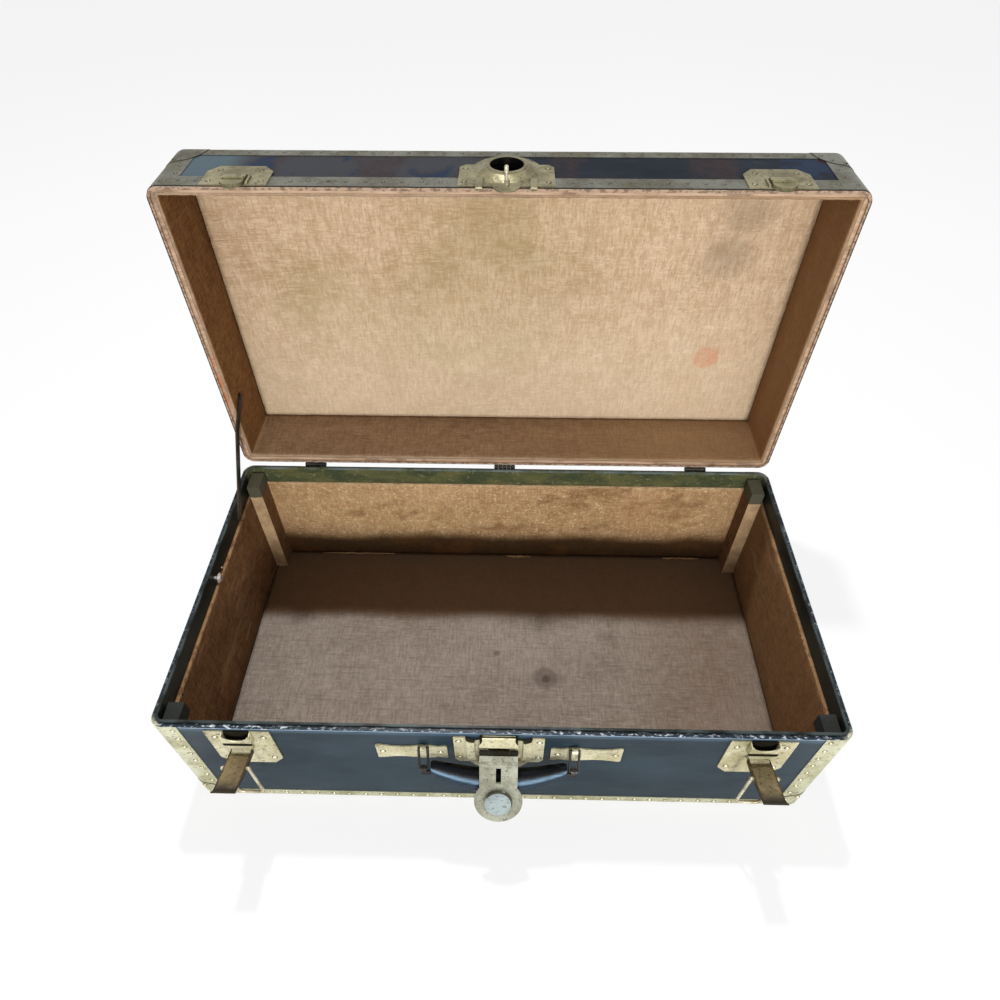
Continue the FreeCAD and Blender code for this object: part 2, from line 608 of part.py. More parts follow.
wide = S.lid_lock_half
low = rim + S.lid_lock_low
high = rim + S.lid_lock_high
skin = thin + S.lid_lock_skin
lid_plate = plate("lid_lock_back", [(-wide, low), (wide, low), (wide, high - 6), (wide - 6, high),
                                    (6 - wide, high), (-wide, high - 6)], thin, skin)
lid_round = rod("lid_lock_round", "out", 0, out(thin), hole_z, S.lid_lock_round, S.lid_lock_skin)
dome = fuse("lid_lock_dome", [
    cone("lid_lock_foot", "out", 0, out(skin), hole_z, S.dome_base, S.dome_step + 1, S.dome_step_out - skin),
    cone("lid_lock_crown", "out", 0, out(S.dome_step_out), hole_z, S.dome_step, S.dome_crown,
         S.dome_out - S.dome_step_out),
    cone("lid_lock_lip", "out", 0, out(S.dome_out), hole_z, S.dome_lip, S.dome_lip - 1,
         S.dome_lip_out - S.dome_out),
])
tongue_edge = [(1.0, 1.0), (1.0, 0.25), (0.86, -0.3), (0.68, -0.68), (0.46, -0.92), (0.2, -1.0)]
tongue_right = []
for across, drop in tongue_edge:
    level = low + 4 if drop == 1.0 else rim + S.tongue_drop * drop
    tongue_right.append((S.tongue_half * across, level))
tongue_left = [(-x, z) for x, z in reversed(tongue_right)]
tongue = plate("lid_tongue", tongue_right + tongue_left, S.tongue_out, S.tongue_out + S.tongue_skin)
lugs = []
for i, x in enumerate((-S.lug_place, S.lug_place)):
    lugs.append(strip("lid_lug_%d" % i, [(1.2, rim - S.lug_drop), (S.lug_out - 1, rim - S.lug_drop),
                                         (S.lug_out, rim - S.lug_drop + 2), (S.lug_out, rim + S.lug_top - 2),
                                         (skin, rim + S.lug_top + 2), (1.2, rim + S.lug_top)],
                      x - S.lug_half, x + S.lug_half))
lid_lock = cut("lid_lock", fuse("lid_lock_solid", [lid_plate, lid_round, dome, tongue] + lugs), [lock_bore])
lid_node("lid_lock_plate", lid_lock)
seat = S.tongue_out
reach = S.staple_wire + S.staple_bend
arch_out = S.staple_out - reach
arch = doc.addObject("Part::Torus", "staple_arch")
arch.Angle3 = 180
arch.Placement = FreeCAD.Placement(V(), FreeCAD.Rotation(V(0, 0, 1), V(0, -1, 0), V(1, 0, 0), "XYZ"))
bind(arch, "Radius1", S.staple_bend)
bind(arch, "Radius2", S.staple_wire)
bind(arch, "Placement.Base.y", out(arch_out))
bind(arch, "Placement.Base.z", rim + S.staple_middle)
legs = []
for i, level in enumerate((rim + S.staple_middle - S.staple_bend, rim + S.staple_middle + S.staple_bend)):
    legs.append(rod("staple_leg_%d" % i, "out", 0, out(seat), level, S.staple_wire, arch_out - seat))
lid_node("lock_staple", cut("lock_staple", fuse("staple_solid", [arch] + legs),
                            [lid_plate, lid_round, dome, tongue]))

# ---- drawbolts ---------------------------------------------------------------------------------

lever_y = out(S.lever_out)
lever_z = S.lever_height
bail_out = S.lever_out + S.bail_place * cosine(S.lever_tilt)
bail_y = out(bail_out)
bail_z = lever_z + S.bail_place * sine(S.lever_tilt)
for side, sign in (("left", -1), ("right", 1)):
    mid = S.bolt_place * sign
    half = S.bolt_half
    back = plate("bolt_back_" + side, [
        (mid - half + S.bolt_chamfer_x, S.bolt_low), (mid + half - S.bolt_chamfer_x, S.bolt_low),
        (mid + half, S.bolt_low + S.bolt_chamfer_z), (mid + half, S.bolt_high),
        (mid - half, S.bolt_high), (mid - half, S.bolt_low + S.bolt_chamfer_z)], 0, S.bolt_skin)
    shell = plate("bolt_housing_" + side, [
        (mid - S.housing_foot, S.housing_low), (mid + S.housing_foot, S.housing_low),
        (mid + S.housing_top, S.housing_low + 9), (mid + S.housing_top, S.bolt_high),
        (mid - S.housing_top, S.bolt_high), (mid - S.housing_top, S.housing_low + 9)],
        S.bolt_skin, S.housing_out)
    pocket = plate("bolt_pocket_" + side, [
        (mid - 8, S.pocket_low), (mid + 8, S.pocket_low), (mid + S.pocket_half - 1, S.pocket_low + 3),
        (mid + S.pocket_half, S.bolt_high + 3), (mid - S.pocket_half, S.bolt_high + 3),
        (mid + 1 - S.pocket_half, S.pocket_low + 3)], S.bolt_skin, S.pocket_out)
    scoop = rod("bolt_scoop_" + side, "out", mid, out(S.bolt_skin + 1), S.bolt_high + 6, 15, 12)
    slit = box("bolt_slit_" + side, mid + 20 * sign - 4, mid + 20 * sign + 4, out(3), out(-1),
               S.bolt_high - 8, S.bolt_high - 6)
    barrel = strip("bolt_barrel_" + side, [
        (1, lever_z - 6.5), (S.lever_out, lever_z - 3.5), (S.lever_out + 3.2, lever_z - 1.8),
        (S.lever_out + 3.2, lever_z + 1.8), (S.lever_out, lever_z + 3.5), (1, lever_z + 6.5)],
        mid - S.lug_outer, mid + S.lug_outer)
    hole = rod("bolt_bore_" + side, "x", mid - 20, lever_y, lever_z, S.pin_radius, 40)
    solid = fuse("bolt_solid_" + side, [back, shell, barrel])
    node("drawbolt_plate_" + side, cut("drawbolt_plate_" + side, solid, [pocket, scoop, slit, hole]))
    reach = S.lever_half + 0.35
    node("lever_pin_" + side, rod("lever_pin_" + side, "x", mid - reach, lever_y, lever_z, S.pin_radius,
                                  reach * 2))

    # the lever is drawn level, pointing straight out, then tilted up
    out0 = S.lever_out
    top = lever_z + S.lever_top
    web = strip("lever_web_" + side, [
        (out0 + S.lever_clear, top - S.lever_skin), (out0 + S.lever_length, top - S.lever_skin),
        (out0 + S.lever_tip - 3, top - 0.4), (out0 + S.lever_tip, top + 3.4), (out0 + S.lever_tip - 1, top + 4.4),
        (out0 + S.lever_tip - 4.4, top + 1.4), (out0 + S.lever_length, top), (out0 + S.lever_clear, top)],
        mid - S.lever_half, mid + S.lever_half)
    sides = [web]
    for i, x0 in enumerate((mid - S.lever_half, mid + S.lever_half - S.lever_skin)):
        sides.append(strip("lever_flange_%s_%d" % (side, i), [
            (out0 - 3.4, lever_z - 2), (out0 - 2, lever_z - S.flange_drop),
            (out0 + S.bail_place + 5, lever_z - S.flange_drop), (out0 + S.lever_length, top - S.lever_skin),
            (out0 + S.lever_length, top), (out0 - 2.4, top), (out0 - 3.4, top - 1.5)],
            x0, x0 + S.lever_skin))
    fit = S.pin_radius + S.running_fit
    bores = [
        rod("lever_bore_" + side, "x", mid - 20, lever_y, lever_z, fit, 40),
        rod("lever_eye_" + side, "x", mid - 20, out(out0 + S.bail_place), lever_z, fit, 40),
    ]
    level = cut("lever_level_" + side, fuse("lever_solid_" + side, sides), bores)
    node("drawbolt_lever_" + side, turned("drawbolt_lever_" + side, level, lever_y, lever_z, -S.lever_tilt))

    # the wire bail hangs plumb from the lever
    wire = S.wire_radius
    loop = []
    bottom = bail_z - S.bail_length
    for i, s in enumerate((-1, 1)):
        leg_x = mid + S.bail_half * s
        loop.append(rod("bail_leg_%s_%d" % (side, i), "z", leg_x, bail_y, bottom + S.bail_bend, wire,
                        S.bail_length - S.bail_bend))
        loop.append(ball("bail_knee_%s_%d" % (side, i), leg_x, bail_y, bail_z, wire))
        stub = leg_x if s < 0 else mid + S.lever_half - 2.1
        loop.append(rod("bail_stub_%s_%d" % (side, i), "x", stub, bail_y, bail_z, wire,
                        S.bail_half - S.lever_half + 2.1))
        bend = doc.addObject("Part::Torus", "bail_bend_%s_%d" % (side, i))
        bend.Angle3 = 90
        bend.Placement = FreeCAD.Placement(V(), FreeCAD.Rotation(V(1, 0, 0), 90).multiply(
            FreeCAD.Rotation(V(0, 0, 1), 180 if s < 0 else 270)))
        bind(bend, "Radius1", S.bail_bend)
        bind(bend, "Radius2", wire)
        bind(bend, "Placement.Base.x", leg_x - S.bail_bend * s)
        bind(bend, "Placement.Base.y", bail_y)
        bind(bend, "Placement.Base.z", bottom + S.bail_bend)
        loop.append(bend)
    loop.append(rod("bail_bar_" + side, "x", mid - S.bail_half + S.bail_bend, bail_y, bottom, wire,
                    (S.bail_half - S.bail_bend) * 2))
    node("bail_" + side, fuse("bail_" + side, loop))

    # catch on the lid, drawn closed
    half = S.catch_half
    low = rim + S.catch_low
    high = rim + S.catch_high
    catch = plate("catch_back_" + side, [
        (mid - half, low), (mid + half, low), (mid + half, high - 13), (mid + half - 11, high),
        (mid - half + 11, high), (mid - half, high - 13)], thin, thin + S.catch_skin)
    dowel_block = strip("catch_dowel_block_" + side, [
        (S.dowel_in, rim - S.dowel_drop), (S.dowel_out - 1.5, rim - S.dowel_drop),
        (S.dowel_out, rim - S.dowel_drop + 1.5), (S.dowel_out, rim + S.dowel_top - 3),
        (S.dowel_out - 3, rim + S.dowel_top), (S.dowel_in, rim + S.dowel_top)],
        mid - S.dowel_half, mid + S.dowel_half)
    round_z = rim - S.dowel_drop + S.dowel_half
    dowel_face = fuse("catch_dowel_face_" + side, [
        rod("catch_dowel_round_" + side, "out", mid, out(0), round_z, S.dowel_half, 12),
        box("catch_dowel_upper_" + side, mid - S.dowel_half, mid + S.dowel_half, out(12), out(0), round_z,
            rim + S.dowel_top + 1)])
    dowel = common("catch_dowel_" + side, dowel_block, dowel_face)
    ridges = []
    for i, x0 in enumerate((mid - S.ridge_outer, mid + S.ridge_inner)):
        ridges.append(strip("catch_ridge_%s_%d" % (side, i), [
            (1, low), (S.ridge_out - 1.5, low), (S.ridge_out, low + 3), (S.ridge_out, low + 16),
            (S.ridge_out - 1.5, low + 20), (1, low + 20)], x0, x0 + S.ridge_outer - S.ridge_inner))
    hump = rod("catch_hump_" + side, "x", mid - S.dowel_half, out(S.dowel_out), rim + S.hump_height,
               S.hump_radius, S.dowel_half * 2)
    lid_node("catch_plate_" + side, fuse("catch_plate_" + side, [catch, dowel, hump] + ridges))

# ---- carrying handle ---------------------------------------------------------------------------

link_y = out(S.link_out)
link_z = S.link_height
BOW = [(0.03, 15.0), (0.13, 13.0), (0.24, 15.5), (0.36, 16.5), (0.46, 14.5), (0.6, 12.8), (0.74, 13.2),
       (0.87, 15.2), (0.97, 17.5)]
wires = []
loops = []
tabs = []
for side, sign in (("left", -1), ("right", 1)):
    mid_z = S.grip_plate_mid
    outline = [(S.grip_plate_in * sign, mid_z - 13.5)]
    for share, half_height in BOW:
        station = S.grip_plate_in + (S.grip_plate_out - S.grip_plate_in) * share
        outline.append((station * sign, mid_z - half_height))
    outline.append((S.grip_plate_out * sign, mid_z - 16))
    mirrored = [(x, mid_z * 2 - z) for x, z in reversed(outline)]
    back = plate("grip_back_" + side, outline + mirrored, 0, S.grip_plate_skin)
    mid = S.link_place * sign
    eye = rod("grip_eye_" + side, "x", mid - S.eye_half, link_y, link_z, S.eye_radius, S.eye_half * 2)
    foot = box("grip_eye_foot_" + side, mid - S.eye_half, mid + S.eye_half, link_y, out(0.2), link_z - 4,
               link_z + 2)
    hole = rod("grip_eye_hole_" + side, "x", mid - 10, link_y, link_z, S.wire_radius + S.running_fit, 20)
    trim = box("grip_eye_trim_" + side, mid - 10, mid + 10, out(0), out(-10), link_z - 10, link_z + 10)
    node("handle_plate_" + side, cut("handle_plate_" + side, fuse("grip_solid_" + side, [back, eye, foot]),
                                     [hole, trim]))
    far_y = link_y - S.link_length
    for i, s in enumerate((-1, 1)):
        wires.append(rod("link_side_%s_%d" % (side, i), "out", mid + S.link_half * s, link_y, link_z,
                         S.wire_radius, S.link_length))
        for j, y in enumerate((link_y, far_y)):
            wires.append(ball("link_knee_%s_%d_%d" % (side, i, j), mid + S.link_half * s, y, link_z,
                              S.wire_radius))
    for j, y in enumerate((link_y, far_y)):
        wires.append(rod("link_bar_%s_%d" % (side, j), "x", mid - S.link_half, y, link_z, S.wire_radius,
                         S.link_half * 2))
    around = rod("loop_round_" + side, "x", mid - S.eye_half, far_y, link_z, S.eye_radius, S.eye_half * 2)
    x0 = S.tab_root if sign > 0 else -(S.link_place + S.eye_half)
    tongue_piece = box("loop_tab_" + side, x0, x0 + S.link_place + S.eye_half - S.tab_root,
                       link_y - S.tab_high, link_y - S.tab_low, link_z - S.tab_half, link_z + S.tab_half)
    bore = rod("loop_bore_" + side, "x", mid - 10, far_y, link_z, S.wire_radius + S.running_fit, 20)
    loops.append(cut("loop_" + side, fuse("loop_solid_" + side, [around, tongue_piece]), [bore]))
    tabs.append(tongue_piece)
wire_left = fuse("link_left", wires[:8])
wire_right = fuse("link_right", wires[8:])
node("handle_links", turned("handle_links", group("links_level", [wire_left, wire_right]), link_y, link_z,
                            S.link_swing))
node("handle_end_loops", turned("handle_end_loops", group("loops_level", loops), link_y, link_z, S.link_swing))

lie_flat = FreeCAD.Placement(V(), FreeCAD.Rotation(V(0, -1, 0), V(0, 0, 1), V(-1, 0, 0), "XYZ"))
STATIONS = [-1.0, -0.83, -0.64, -0.43, -0.22, 0.0, 0.22, 0.43, 0.64, 0.83, 1.0]
rounds = []
for i, share in enumerate(STATIONS):
    sag = S.grip_reach - S.grip_sag * abs(share) ** 1.8
    oval = doc.addObject("Part::Ellipse", "grip_oval_%d" % i)
    oval.Placement = lie_flat
    bind(oval, "MajorRadius", S.grip_major - S.grip_major_loss * share ** 2)
    bind(oval, "MinorRadius", S.grip_minor - S.grip_minor_loss * share ** 2)
    bind(oval, "Placement.Base.x", S.grip_end * share)
    bind(oval, "Placement.Base.y", link_y - sag)
    bind(oval, "Placement.Base.z", link_z)
    rounds.append(oval)
loft = doc.addObject("Part::Loft", "grip_loft")
loft.Sections = rounds
loft.Solid = True
loft.Ruled = True
grip_level = cut("grip_level", loft, tabs)
node("handle_grip", turned("handle_grip", grip_level, link_y, link_z, S.link_swing))

# ---- stay --------------------------------------------------------------------------------------

open_y = axis_y + (S.stay_pivot_z - axis_z)
open_z = axis_z - (S.stay_pivot_y - axis_y)
x0 = -S.stay_x
thick_stay = S.stay_skin
h = S.stay_half
bend_y = open_y - S.stay_top_length * cosine(S.stay_top_angle)
bend_z = open_z - S.stay_top_length * sine(S.stay_top_angle)
end_y = bend_y - S.stay_low_length * cosine(S.stay_low_angle)
end_z = bend_z - S.stay_low_length * sine(S.stay_low_angle)
upper = box("stay_upper", x0, x0 + thick_stay, open_y - S.stay_top_length, open_y, open_z - h, open_z + h)
lower = box("stay_lower", x0, x0 + thick_stay, bend_y - S.stay_low_length, bend_y, bend_z - h, bend_z + h)
strap = [
    turned("stay_upper_turned", upper, open_y, open_z, S.stay_top_angle),
    turned("stay_lower_turned", lower, bend_y, bend_z, S.stay_low_angle),
]
for i, (y, z) in enumerate(((open_y, open_z), (bend_y, bend_z), (end_y, end_z))):
    strap.append(rod("stay_round_%d" % i, "x", x0, y, z, h, thick_stay))
stay_holes = [
    rod("stay_bore", "x", x0 - 5, open_y, open_z, S.rivet_radius + S.running_fit, 20),
    rod("stay_eye", "x", x0 - 5, end_y, end_z, 2.3, 20),
]
node("lid_stay", cut("lid_stay", fuse("stay_solid", strap), stay_holes))
wall_x = -inside_x
shank = rod("rivet_shank", "x", wall_x, open_y, open_z, S.rivet_radius, thick_stay + 1)
head = rod("rivet_head_round", "x", x0 + thick_stay + 0.3, open_y, open_z, S.rivet_head, 1)
node("stay_rivet", fuse("stay_rivet", [shank, head]))
stud_x = wall_in - half_w
stud_shank = rod("stud_shank", "x", stud_x, S.stud_y, S.stud_z, S.stud_radius, 6)
stud_top = cone("stud_top", "x", stud_x + 5.6, S.stud_y, S.stud_z, S.stud_head, S.stud_head - 2.5, 3)
stud_low = cone("stud_low", "x", stud_x + 4.4, S.stud_y, S.stud_z, S.stud_head - 1.5, S.stud_head, 1.2)
node("stay_stud", fuse("stay_stud", [stud_shank, stud_low, stud_top]))

# ---- checks and files --------------------------------------------------------------------------

doc.recompute()
os.makedirs("parts", exist_ok=True)
faulty = [o.Name for o in doc.Objects if "Invalid" in o.State or "Error" in o.State]
if faulty:
    raise RuntimeError("not built: " + ", ".join(faulty))
for name, thing in NODES.items():
    thing.Label = name
    shape = thing.Shape
    if shape.isNull() or not shape.isValid() or not shape.Solids:
        raise RuntimeError("bad shape: " + name)
    shape.exportStep("parts/" + name + ".step")
print("nodes", len(NODES))
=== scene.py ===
"""Looks for a flat-top hand trunk standing open: fibre, brass bindings, canvas lid, cloth-lined body."""
import json
import math
import random
from functools import partial, reduce

import bpy
import bmesh
from mathutils import Matrix, Vector, noise


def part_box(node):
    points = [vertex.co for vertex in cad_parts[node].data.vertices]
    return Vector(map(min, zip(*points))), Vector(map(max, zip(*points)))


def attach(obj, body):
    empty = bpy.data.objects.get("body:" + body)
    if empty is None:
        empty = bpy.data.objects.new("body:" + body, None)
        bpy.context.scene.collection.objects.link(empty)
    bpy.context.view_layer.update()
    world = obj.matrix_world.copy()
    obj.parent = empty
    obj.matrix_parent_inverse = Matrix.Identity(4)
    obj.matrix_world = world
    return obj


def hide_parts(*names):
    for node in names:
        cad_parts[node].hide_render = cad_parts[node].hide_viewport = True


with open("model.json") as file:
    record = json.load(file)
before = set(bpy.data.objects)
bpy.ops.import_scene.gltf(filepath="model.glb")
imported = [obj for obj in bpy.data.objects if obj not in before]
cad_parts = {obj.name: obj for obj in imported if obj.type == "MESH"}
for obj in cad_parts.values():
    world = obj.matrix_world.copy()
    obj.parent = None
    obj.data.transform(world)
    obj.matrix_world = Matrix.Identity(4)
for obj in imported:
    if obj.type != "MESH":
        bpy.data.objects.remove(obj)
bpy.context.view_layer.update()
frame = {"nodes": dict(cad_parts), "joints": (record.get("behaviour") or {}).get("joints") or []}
nodes = frame["nodes"]
joints = {j["name"]: j for j in frame["joints"]}
scene = bpy.context.scene
MM = 0.001

# ---- sizes taken from the frame ----

cover_low, cover_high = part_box("body_cover")
HALF_W, HALF_D, RIM = cover_high
lining_low, lining_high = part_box("body_floor_lining")
IN_X, IN_Y, FLOOR = lining_high
LINER_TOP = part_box("body_liner")[1].z
VALANCE_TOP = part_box("body_valance")[1].z
lid_low, lid_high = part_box("lid_cover")
LID_BACK, LID_FRONT = lid_low.z, lid_high.z  # the open lid stands up: its back face is low
LID_RIM, LID_TOP = lid_low.y, lid_high.y
panel_low, panel_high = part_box("lid_top_lining")
HINGE = Vector(joints["lid_hinge"]["pos_m"])
BOLT_PLACE = (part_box("drawbolt_plate_right")[0].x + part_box("drawbolt_plate_right")[1].x) / 2
HASP_PIN = Vector(joints["hasp_hinge"]["pos_m"])
disc_low, disc_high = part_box("lock_back_disc")
DISC_AT = (disc_low + disc_high) / 2
DISC_RADIUS = (disc_high.x - disc_low.x) / 2

# ---- sizes of the part that its boxes don't give ----

CAP_REACH = 42 * MM  # radius of the corner caps' curved edge
LEVER_HALF = 12.25 * MM  # half a lever's width
BOLT_POCKET_HALF = 14.5 * MM  # the square pockets behind the levers
BOLT_POCKET_LOW, BOLT_POCKET_HIGH = 0.1735, 0.1945
LUG_PLACE, LUG_HEIGHT = 27.5 * MM, 0.194  # the round pockets beside the hood
HASP_FOLD = (0.1655, 0.1695)  # heights between which the hasp is folded
HOLE_Y, HOLE_RADIUS = 0.246, 18 * MM  # the bore through the lid's front


def shut_to_open(p):
    """Where a point of the closed lid is when the lid stands open."""
    return Vector((p[0], HINGE.y + (p[2] - HINGE.z), HINGE.z - (p[1] - HINGE.y)))


def shut_dir(d):
    """Where a direction on the closed lid points when the lid stands open."""
    return Vector((d[0], d[2], -d[1]))


# ---- material helpers ----


def linear(color, gain=1, lift=0):
    """A colour given as 0-255 display values, made linear, then made stronger or paler."""
    out = []
    for c in color:
        c = c / 255
        c = c / 12.92 if c <= 0.04045 else ((c + 0.055) / 1.055) ** 2.4
        out.append(min(1, c * gain + lift))
    return (*out, 1)


class Shading:
    """A tree of shader nodes."""

    def __init__(self, tree):
        self.tree = tree

    def node(self, kind, inputs=(), **settings):
        """A new shader node. inputs: what the sockets get, by name or number."""
        made = self.tree.nodes.new("ShaderNode" + kind)
        for key, value in settings.items():
            setattr(made, key, value)
        for key, value in dict(inputs).items():
            self.feed(made.inputs[key], value)
        return made

    def feed(self, socket, value):
        """Links or sets a socket. Three numbers for a colour are 0-255 display values."""
        if isinstance(value, bpy.types.NodeSocket):
            self.tree.links.new(value, socket)
            return
        if isinstance(value, tuple) and len(value) == 3 and len(socket.default_value) == 4:
            value = linear(value)
        socket.default_value = value

    def math(self, op, a, b=0):
        return self.node("Math", {0: a, 1: b}, operation=op).outputs[0]


class Look(Shading):
    """One procedural material: colours laid over each other. Methods return what the next can take."""

    def __init__(self, name, color):
        self.mat = bpy.data.materials.new(name)
        self.mat.use_nodes = True
        super().__init__(self.mat.node_tree)
        self.color = color
        self.painted_shade = None  # where a metal is painted black as shade: the share, from its marks
        self.blot = self.fine = None  # a cloth's large and small unevenness, for its marks
        self.place = self.node("TexCoord").outputs["Object"]
        self.x, self.y, self.z = self.node("SeparateXYZ", {0: self.place}).outputs

    def times(self, *values):
        return reduce(partial(self.math, "MULTIPLY"), values)

    def either(self, *values):
        return reduce(partial(self.math, "MAXIMUM"), values)

    def plus(self, a, b):
        return self.math("ADD", a, b)

    def absolute(self, a):
        return self.math("ABSOLUTE", a)

    def span(self, value, low, high, a=0, b=1):
        """value from low to high becomes a to b, smoothly, and stays there outside."""
        inputs = enumerate((value, low, high, a, b))
        return self.node("MapRange", inputs, interpolation_type="SMOOTHSTEP").outputs[0]

    def fade(self, share, a, b):
        """a where the share is 0, b where it is 1."""
        return self.span(share, 0, 1, a, b)

    def step(self, axis, level, start, stop, a=0, b=1):
        """a becomes b between two distances in mm from a level."""
        return self.span(axis, level + start * MM, level + stop * MM, a, b)

    def noise(self, scale, low, high, detail=3, rough=0.55, stretch=None):
        """Noise, 0 below low and 1 above high. stretch: further scales along X, Y and Z."""
        place = self.place
        if stretch is not None:
            place = self.node("Mapping", {"Vector": place, "Scale": stretch}).outputs[0]
        inputs = {"Vector": place, "Scale": scale, "Detail": detail, "Roughness": rough}
        return self.span(self.node("TexNoise", inputs).outputs["Fac"], low, high)

    def cells(self, scale, reach):
        """1 in the middle of every cell, 0 from a share of its size outwards."""
        n = self.node("TexVoronoi", {"Vector": self.place, "Scale": scale})
        return self.span(n.outputs["Distance"], 0, reach, 1, 0)

    def threads(self, axis, pitch):
        """Rows of threads: a rounded wave along the axis."""
        return self.span(self.math("SINE", self.times(axis, 2 * math.pi / pitch)), -1, 1)

    def distance(self, place, centre):
        inputs = {0: place, 1: tuple(centre)}
        return self.node("VectorMath", inputs, operation="DISTANCE").outputs["Value"]

    def near(self, centre, radius, soft):
        """1 inside a ball, fading out over soft on both sides of its skin."""
        return self.span(self.distance(self.place, centre), radius - soft, radius + soft, 1, 0)

    def circle(self, a, b, inner, outer):
        """1 inside the inner of two circles round the line where a and b are 0, 0 outside the outer."""
        square = self.plus(self.times(a, a), self.times(b, b))
        return self.span(square, inner ** 2, outer ** 2, 1, 0)

    def along(self, axis, low, high, soft):
        """1 where the coordinate lies between low and high, fading out over soft on both sides."""
        rise = self.span(axis, low - soft, low + soft)
        return self.times(rise, self.span(axis, high - soft, high + soft, 1, 0))

    def band(self, axis, level, low, high, soft):
        """along, with all distances in mm, from a level."""
        return self.along(axis, level + low * MM, level + high * MM, soft * MM)

    def inside(self, low, high, soft):
        """1 inside a box given by its two corners."""
        share = 1
        for axis, a, b in zip((self.x, self.y, self.z), low, high):
            share = self.times(self.along(axis, a, b, soft), share)
        return share

    def corner_distance(self, corner, middle_z=None):
        """Distance to the nearest of the corners that are mirrored in X and in Y, or X and a level."""
        if middle_z is None:
            places = (self.absolute(self.x), self.absolute(self.y), self.z)
        else:
            places = (self.absolute(self.x), self.y, self.absolute(self.plus(self.z, -middle_z)))
        return self.distance(self.node("CombineXYZ", enumerate(places)).outputs[0], corner)

    def ring(self, distance, radius, half_width):
        """1 where the distance is close to a radius: a thin line round a point."""
        off = self.absolute(self.plus(distance, -radius))
        return self.span(off, half_width * 0.5, half_width, 1, 0)

    def cavity(self, reach, own=True, full=0.35, none=0.85):
        """1 in grooves and inner corners, 0 on open faces."""
        n = self.node("AmbientOcclusion", {"Distance": reach}, samples=4, only_local=own)
        return self.span(n.outputs["AO"], full, none, 1, 0)

    def rubbed_edge(self, reach):
        """1 along outer edges, found by looking inwards from the surface."""
        n = self.node("AmbientOcclusion", {"Distance": reach}, samples=4, inside=True, only_local=True)
        return self.span(n.outputs["AO"], 0.55, 0.9, 1, 0)

    def mix(self, share, a, b):
        return self.node("Mix", {0: share, 6: a, 7: b}, data_type="RGBA").outputs[2]

    def lay(self, color, *shares):
        """Lays a colour over what is there, as far as all the shares multiplied say."""
        self.color = self.mix(self.times(*shares), self.color, color)

    def bump(self, height, depth, strength, under=None):
        inputs = {"Strength": strength, "Distance": depth, "Height": height}
        if under is not None:
            inputs["Normal"] = under
        return self.node("Bump", inputs).outputs[0]

    def done(self, rough, normal, specular, metal=0):
        sockets = {"Base Color": self.color, "Roughness": rough, "Normal": normal,
                   "Specular IOR Level": specular, "Metallic": metal}
        for name, value in sockets.items():
            self.feed(self.tree.nodes["Principled BSDF"].inputs[name], value)
        return self.mat


# ---- fibre ----


def fibre_look(name, base, dark, worn, marks=None, shine=0.2, contact_grime_and_shade=0):
    """Vulcanised fibre: hard, glossy, scuffed along its length, darkened round the plates by grime and
    painted shade.
    """
    m = Look(name, base)
    cloudy = m.noise(6, 0.3, 0.7, 4, 0.55, (1, 1.8, 1.8))
    m.lay(dark, cloudy)
    scuffs = m.noise(24, 0.56, 0.74, 6, 0.7, (1, 6, 8))
    m.lay(worn, scuffs, 0.34)
    chips = m.noise(120, 0.62, 0.7, 6, 0.75, (0.8, 1.2, 1.2))
    knocked = m.noise(7, 0.46, 0.64, 4, 0.65)
    chips = m.times(chips, m.fade(knocked, 0.12, 1))
    m.lay(worn, chips, 0.5)
    if marks is not None:
        marks(m)
    # grime and painted shade: the fibre is darkened in the hollows round the plates
    if contact_grime_and_shade > 0:
        m.lay((10, 12, 16), m.cavity(3.5 * MM, False, 0.55, 0.95), contact_grime_and_shade)
    rough = m.fade(m.plus(m.times(scuffs, 0.5), m.times(cloudy, 0.4)), 0.34, 0.55)
    ripple = m.bump(m.noise(9, 0.3, 0.7, 2), 0.5 * MM, 0.6)
    grain = m.bump(m.noise(1400, 0.3, 0.7, 2), 0.05 * MM, 0.5, ripple)
    scratch = m.bump(m.plus(scuffs, chips), -0.08 * MM, 0.6, grain)
    return m.done(rough, scratch, shine)


def fold_marks(m):
    """The body's fibre is folded over the rim: a pale line, partly rubbed wear and partly a painted
    highlight, scuffs at the front, bare corners.
    """
    front = m.step(m.y, -HALF_D, 10, 4, 0.3, 1)
    streaks = m.noise(60, 0.24, 0.5, 5, 0.7, (0.35, 1, 1))
    # the pale shoulder and line below the rim are partly rubbed wear and partly a painted highlight where the
    # fold bends
    shoulder = m.band(m.z, RIM, -8, -2, 4)
    m.lay((92, 118, 140), m.times(shoulder, m.fade(streaks, 0.5, 1)), front, 0.42)
    line = m.band(m.z, RIM, -2.6, -1.5, 0.5)
    m.lay((160, 184, 208), line, streaks, front)
    m.lay((16, 20, 28), m.band(m.z, RIM, -4.6, -3.6, 0.5), 0.45)
    edge = m.step(m.z, RIM, -0.7, -0.2)
    m.lay((30, 34, 42), edge, 0.6)
    rubbed = m.noise(260, 0.52, 0.62, 4, 0.7, (0.5, 1, 1))
    worst = m.noise(9, 0.5, 0.6, 2, 0.55, (1, 0.2, 0.2))
    m.lay((204, 212, 220), m.times(edge, rubbed), m.times(front, m.fade(worst, 0.6, 1)))
    top = m.band(m.z, RIM, -2.4, 0, 0.5)
    scuffed_part = m.along(m.x, -0.315, -0.235, 10 * MM)
    m.lay((226, 232, 238), m.times(top, scuffed_part), rubbed, front)
    bare = m.span(m.corner_distance((HALF_W, HALF_D, RIM)), 5 * MM, 15 * MM, 1, 0)
    high = m.step(m.z, RIM, -9, -4)
    m.lay((214, 208, 182), m.times(bare, high), m.span(rubbed, 0, 0.7, 0.5, 1))


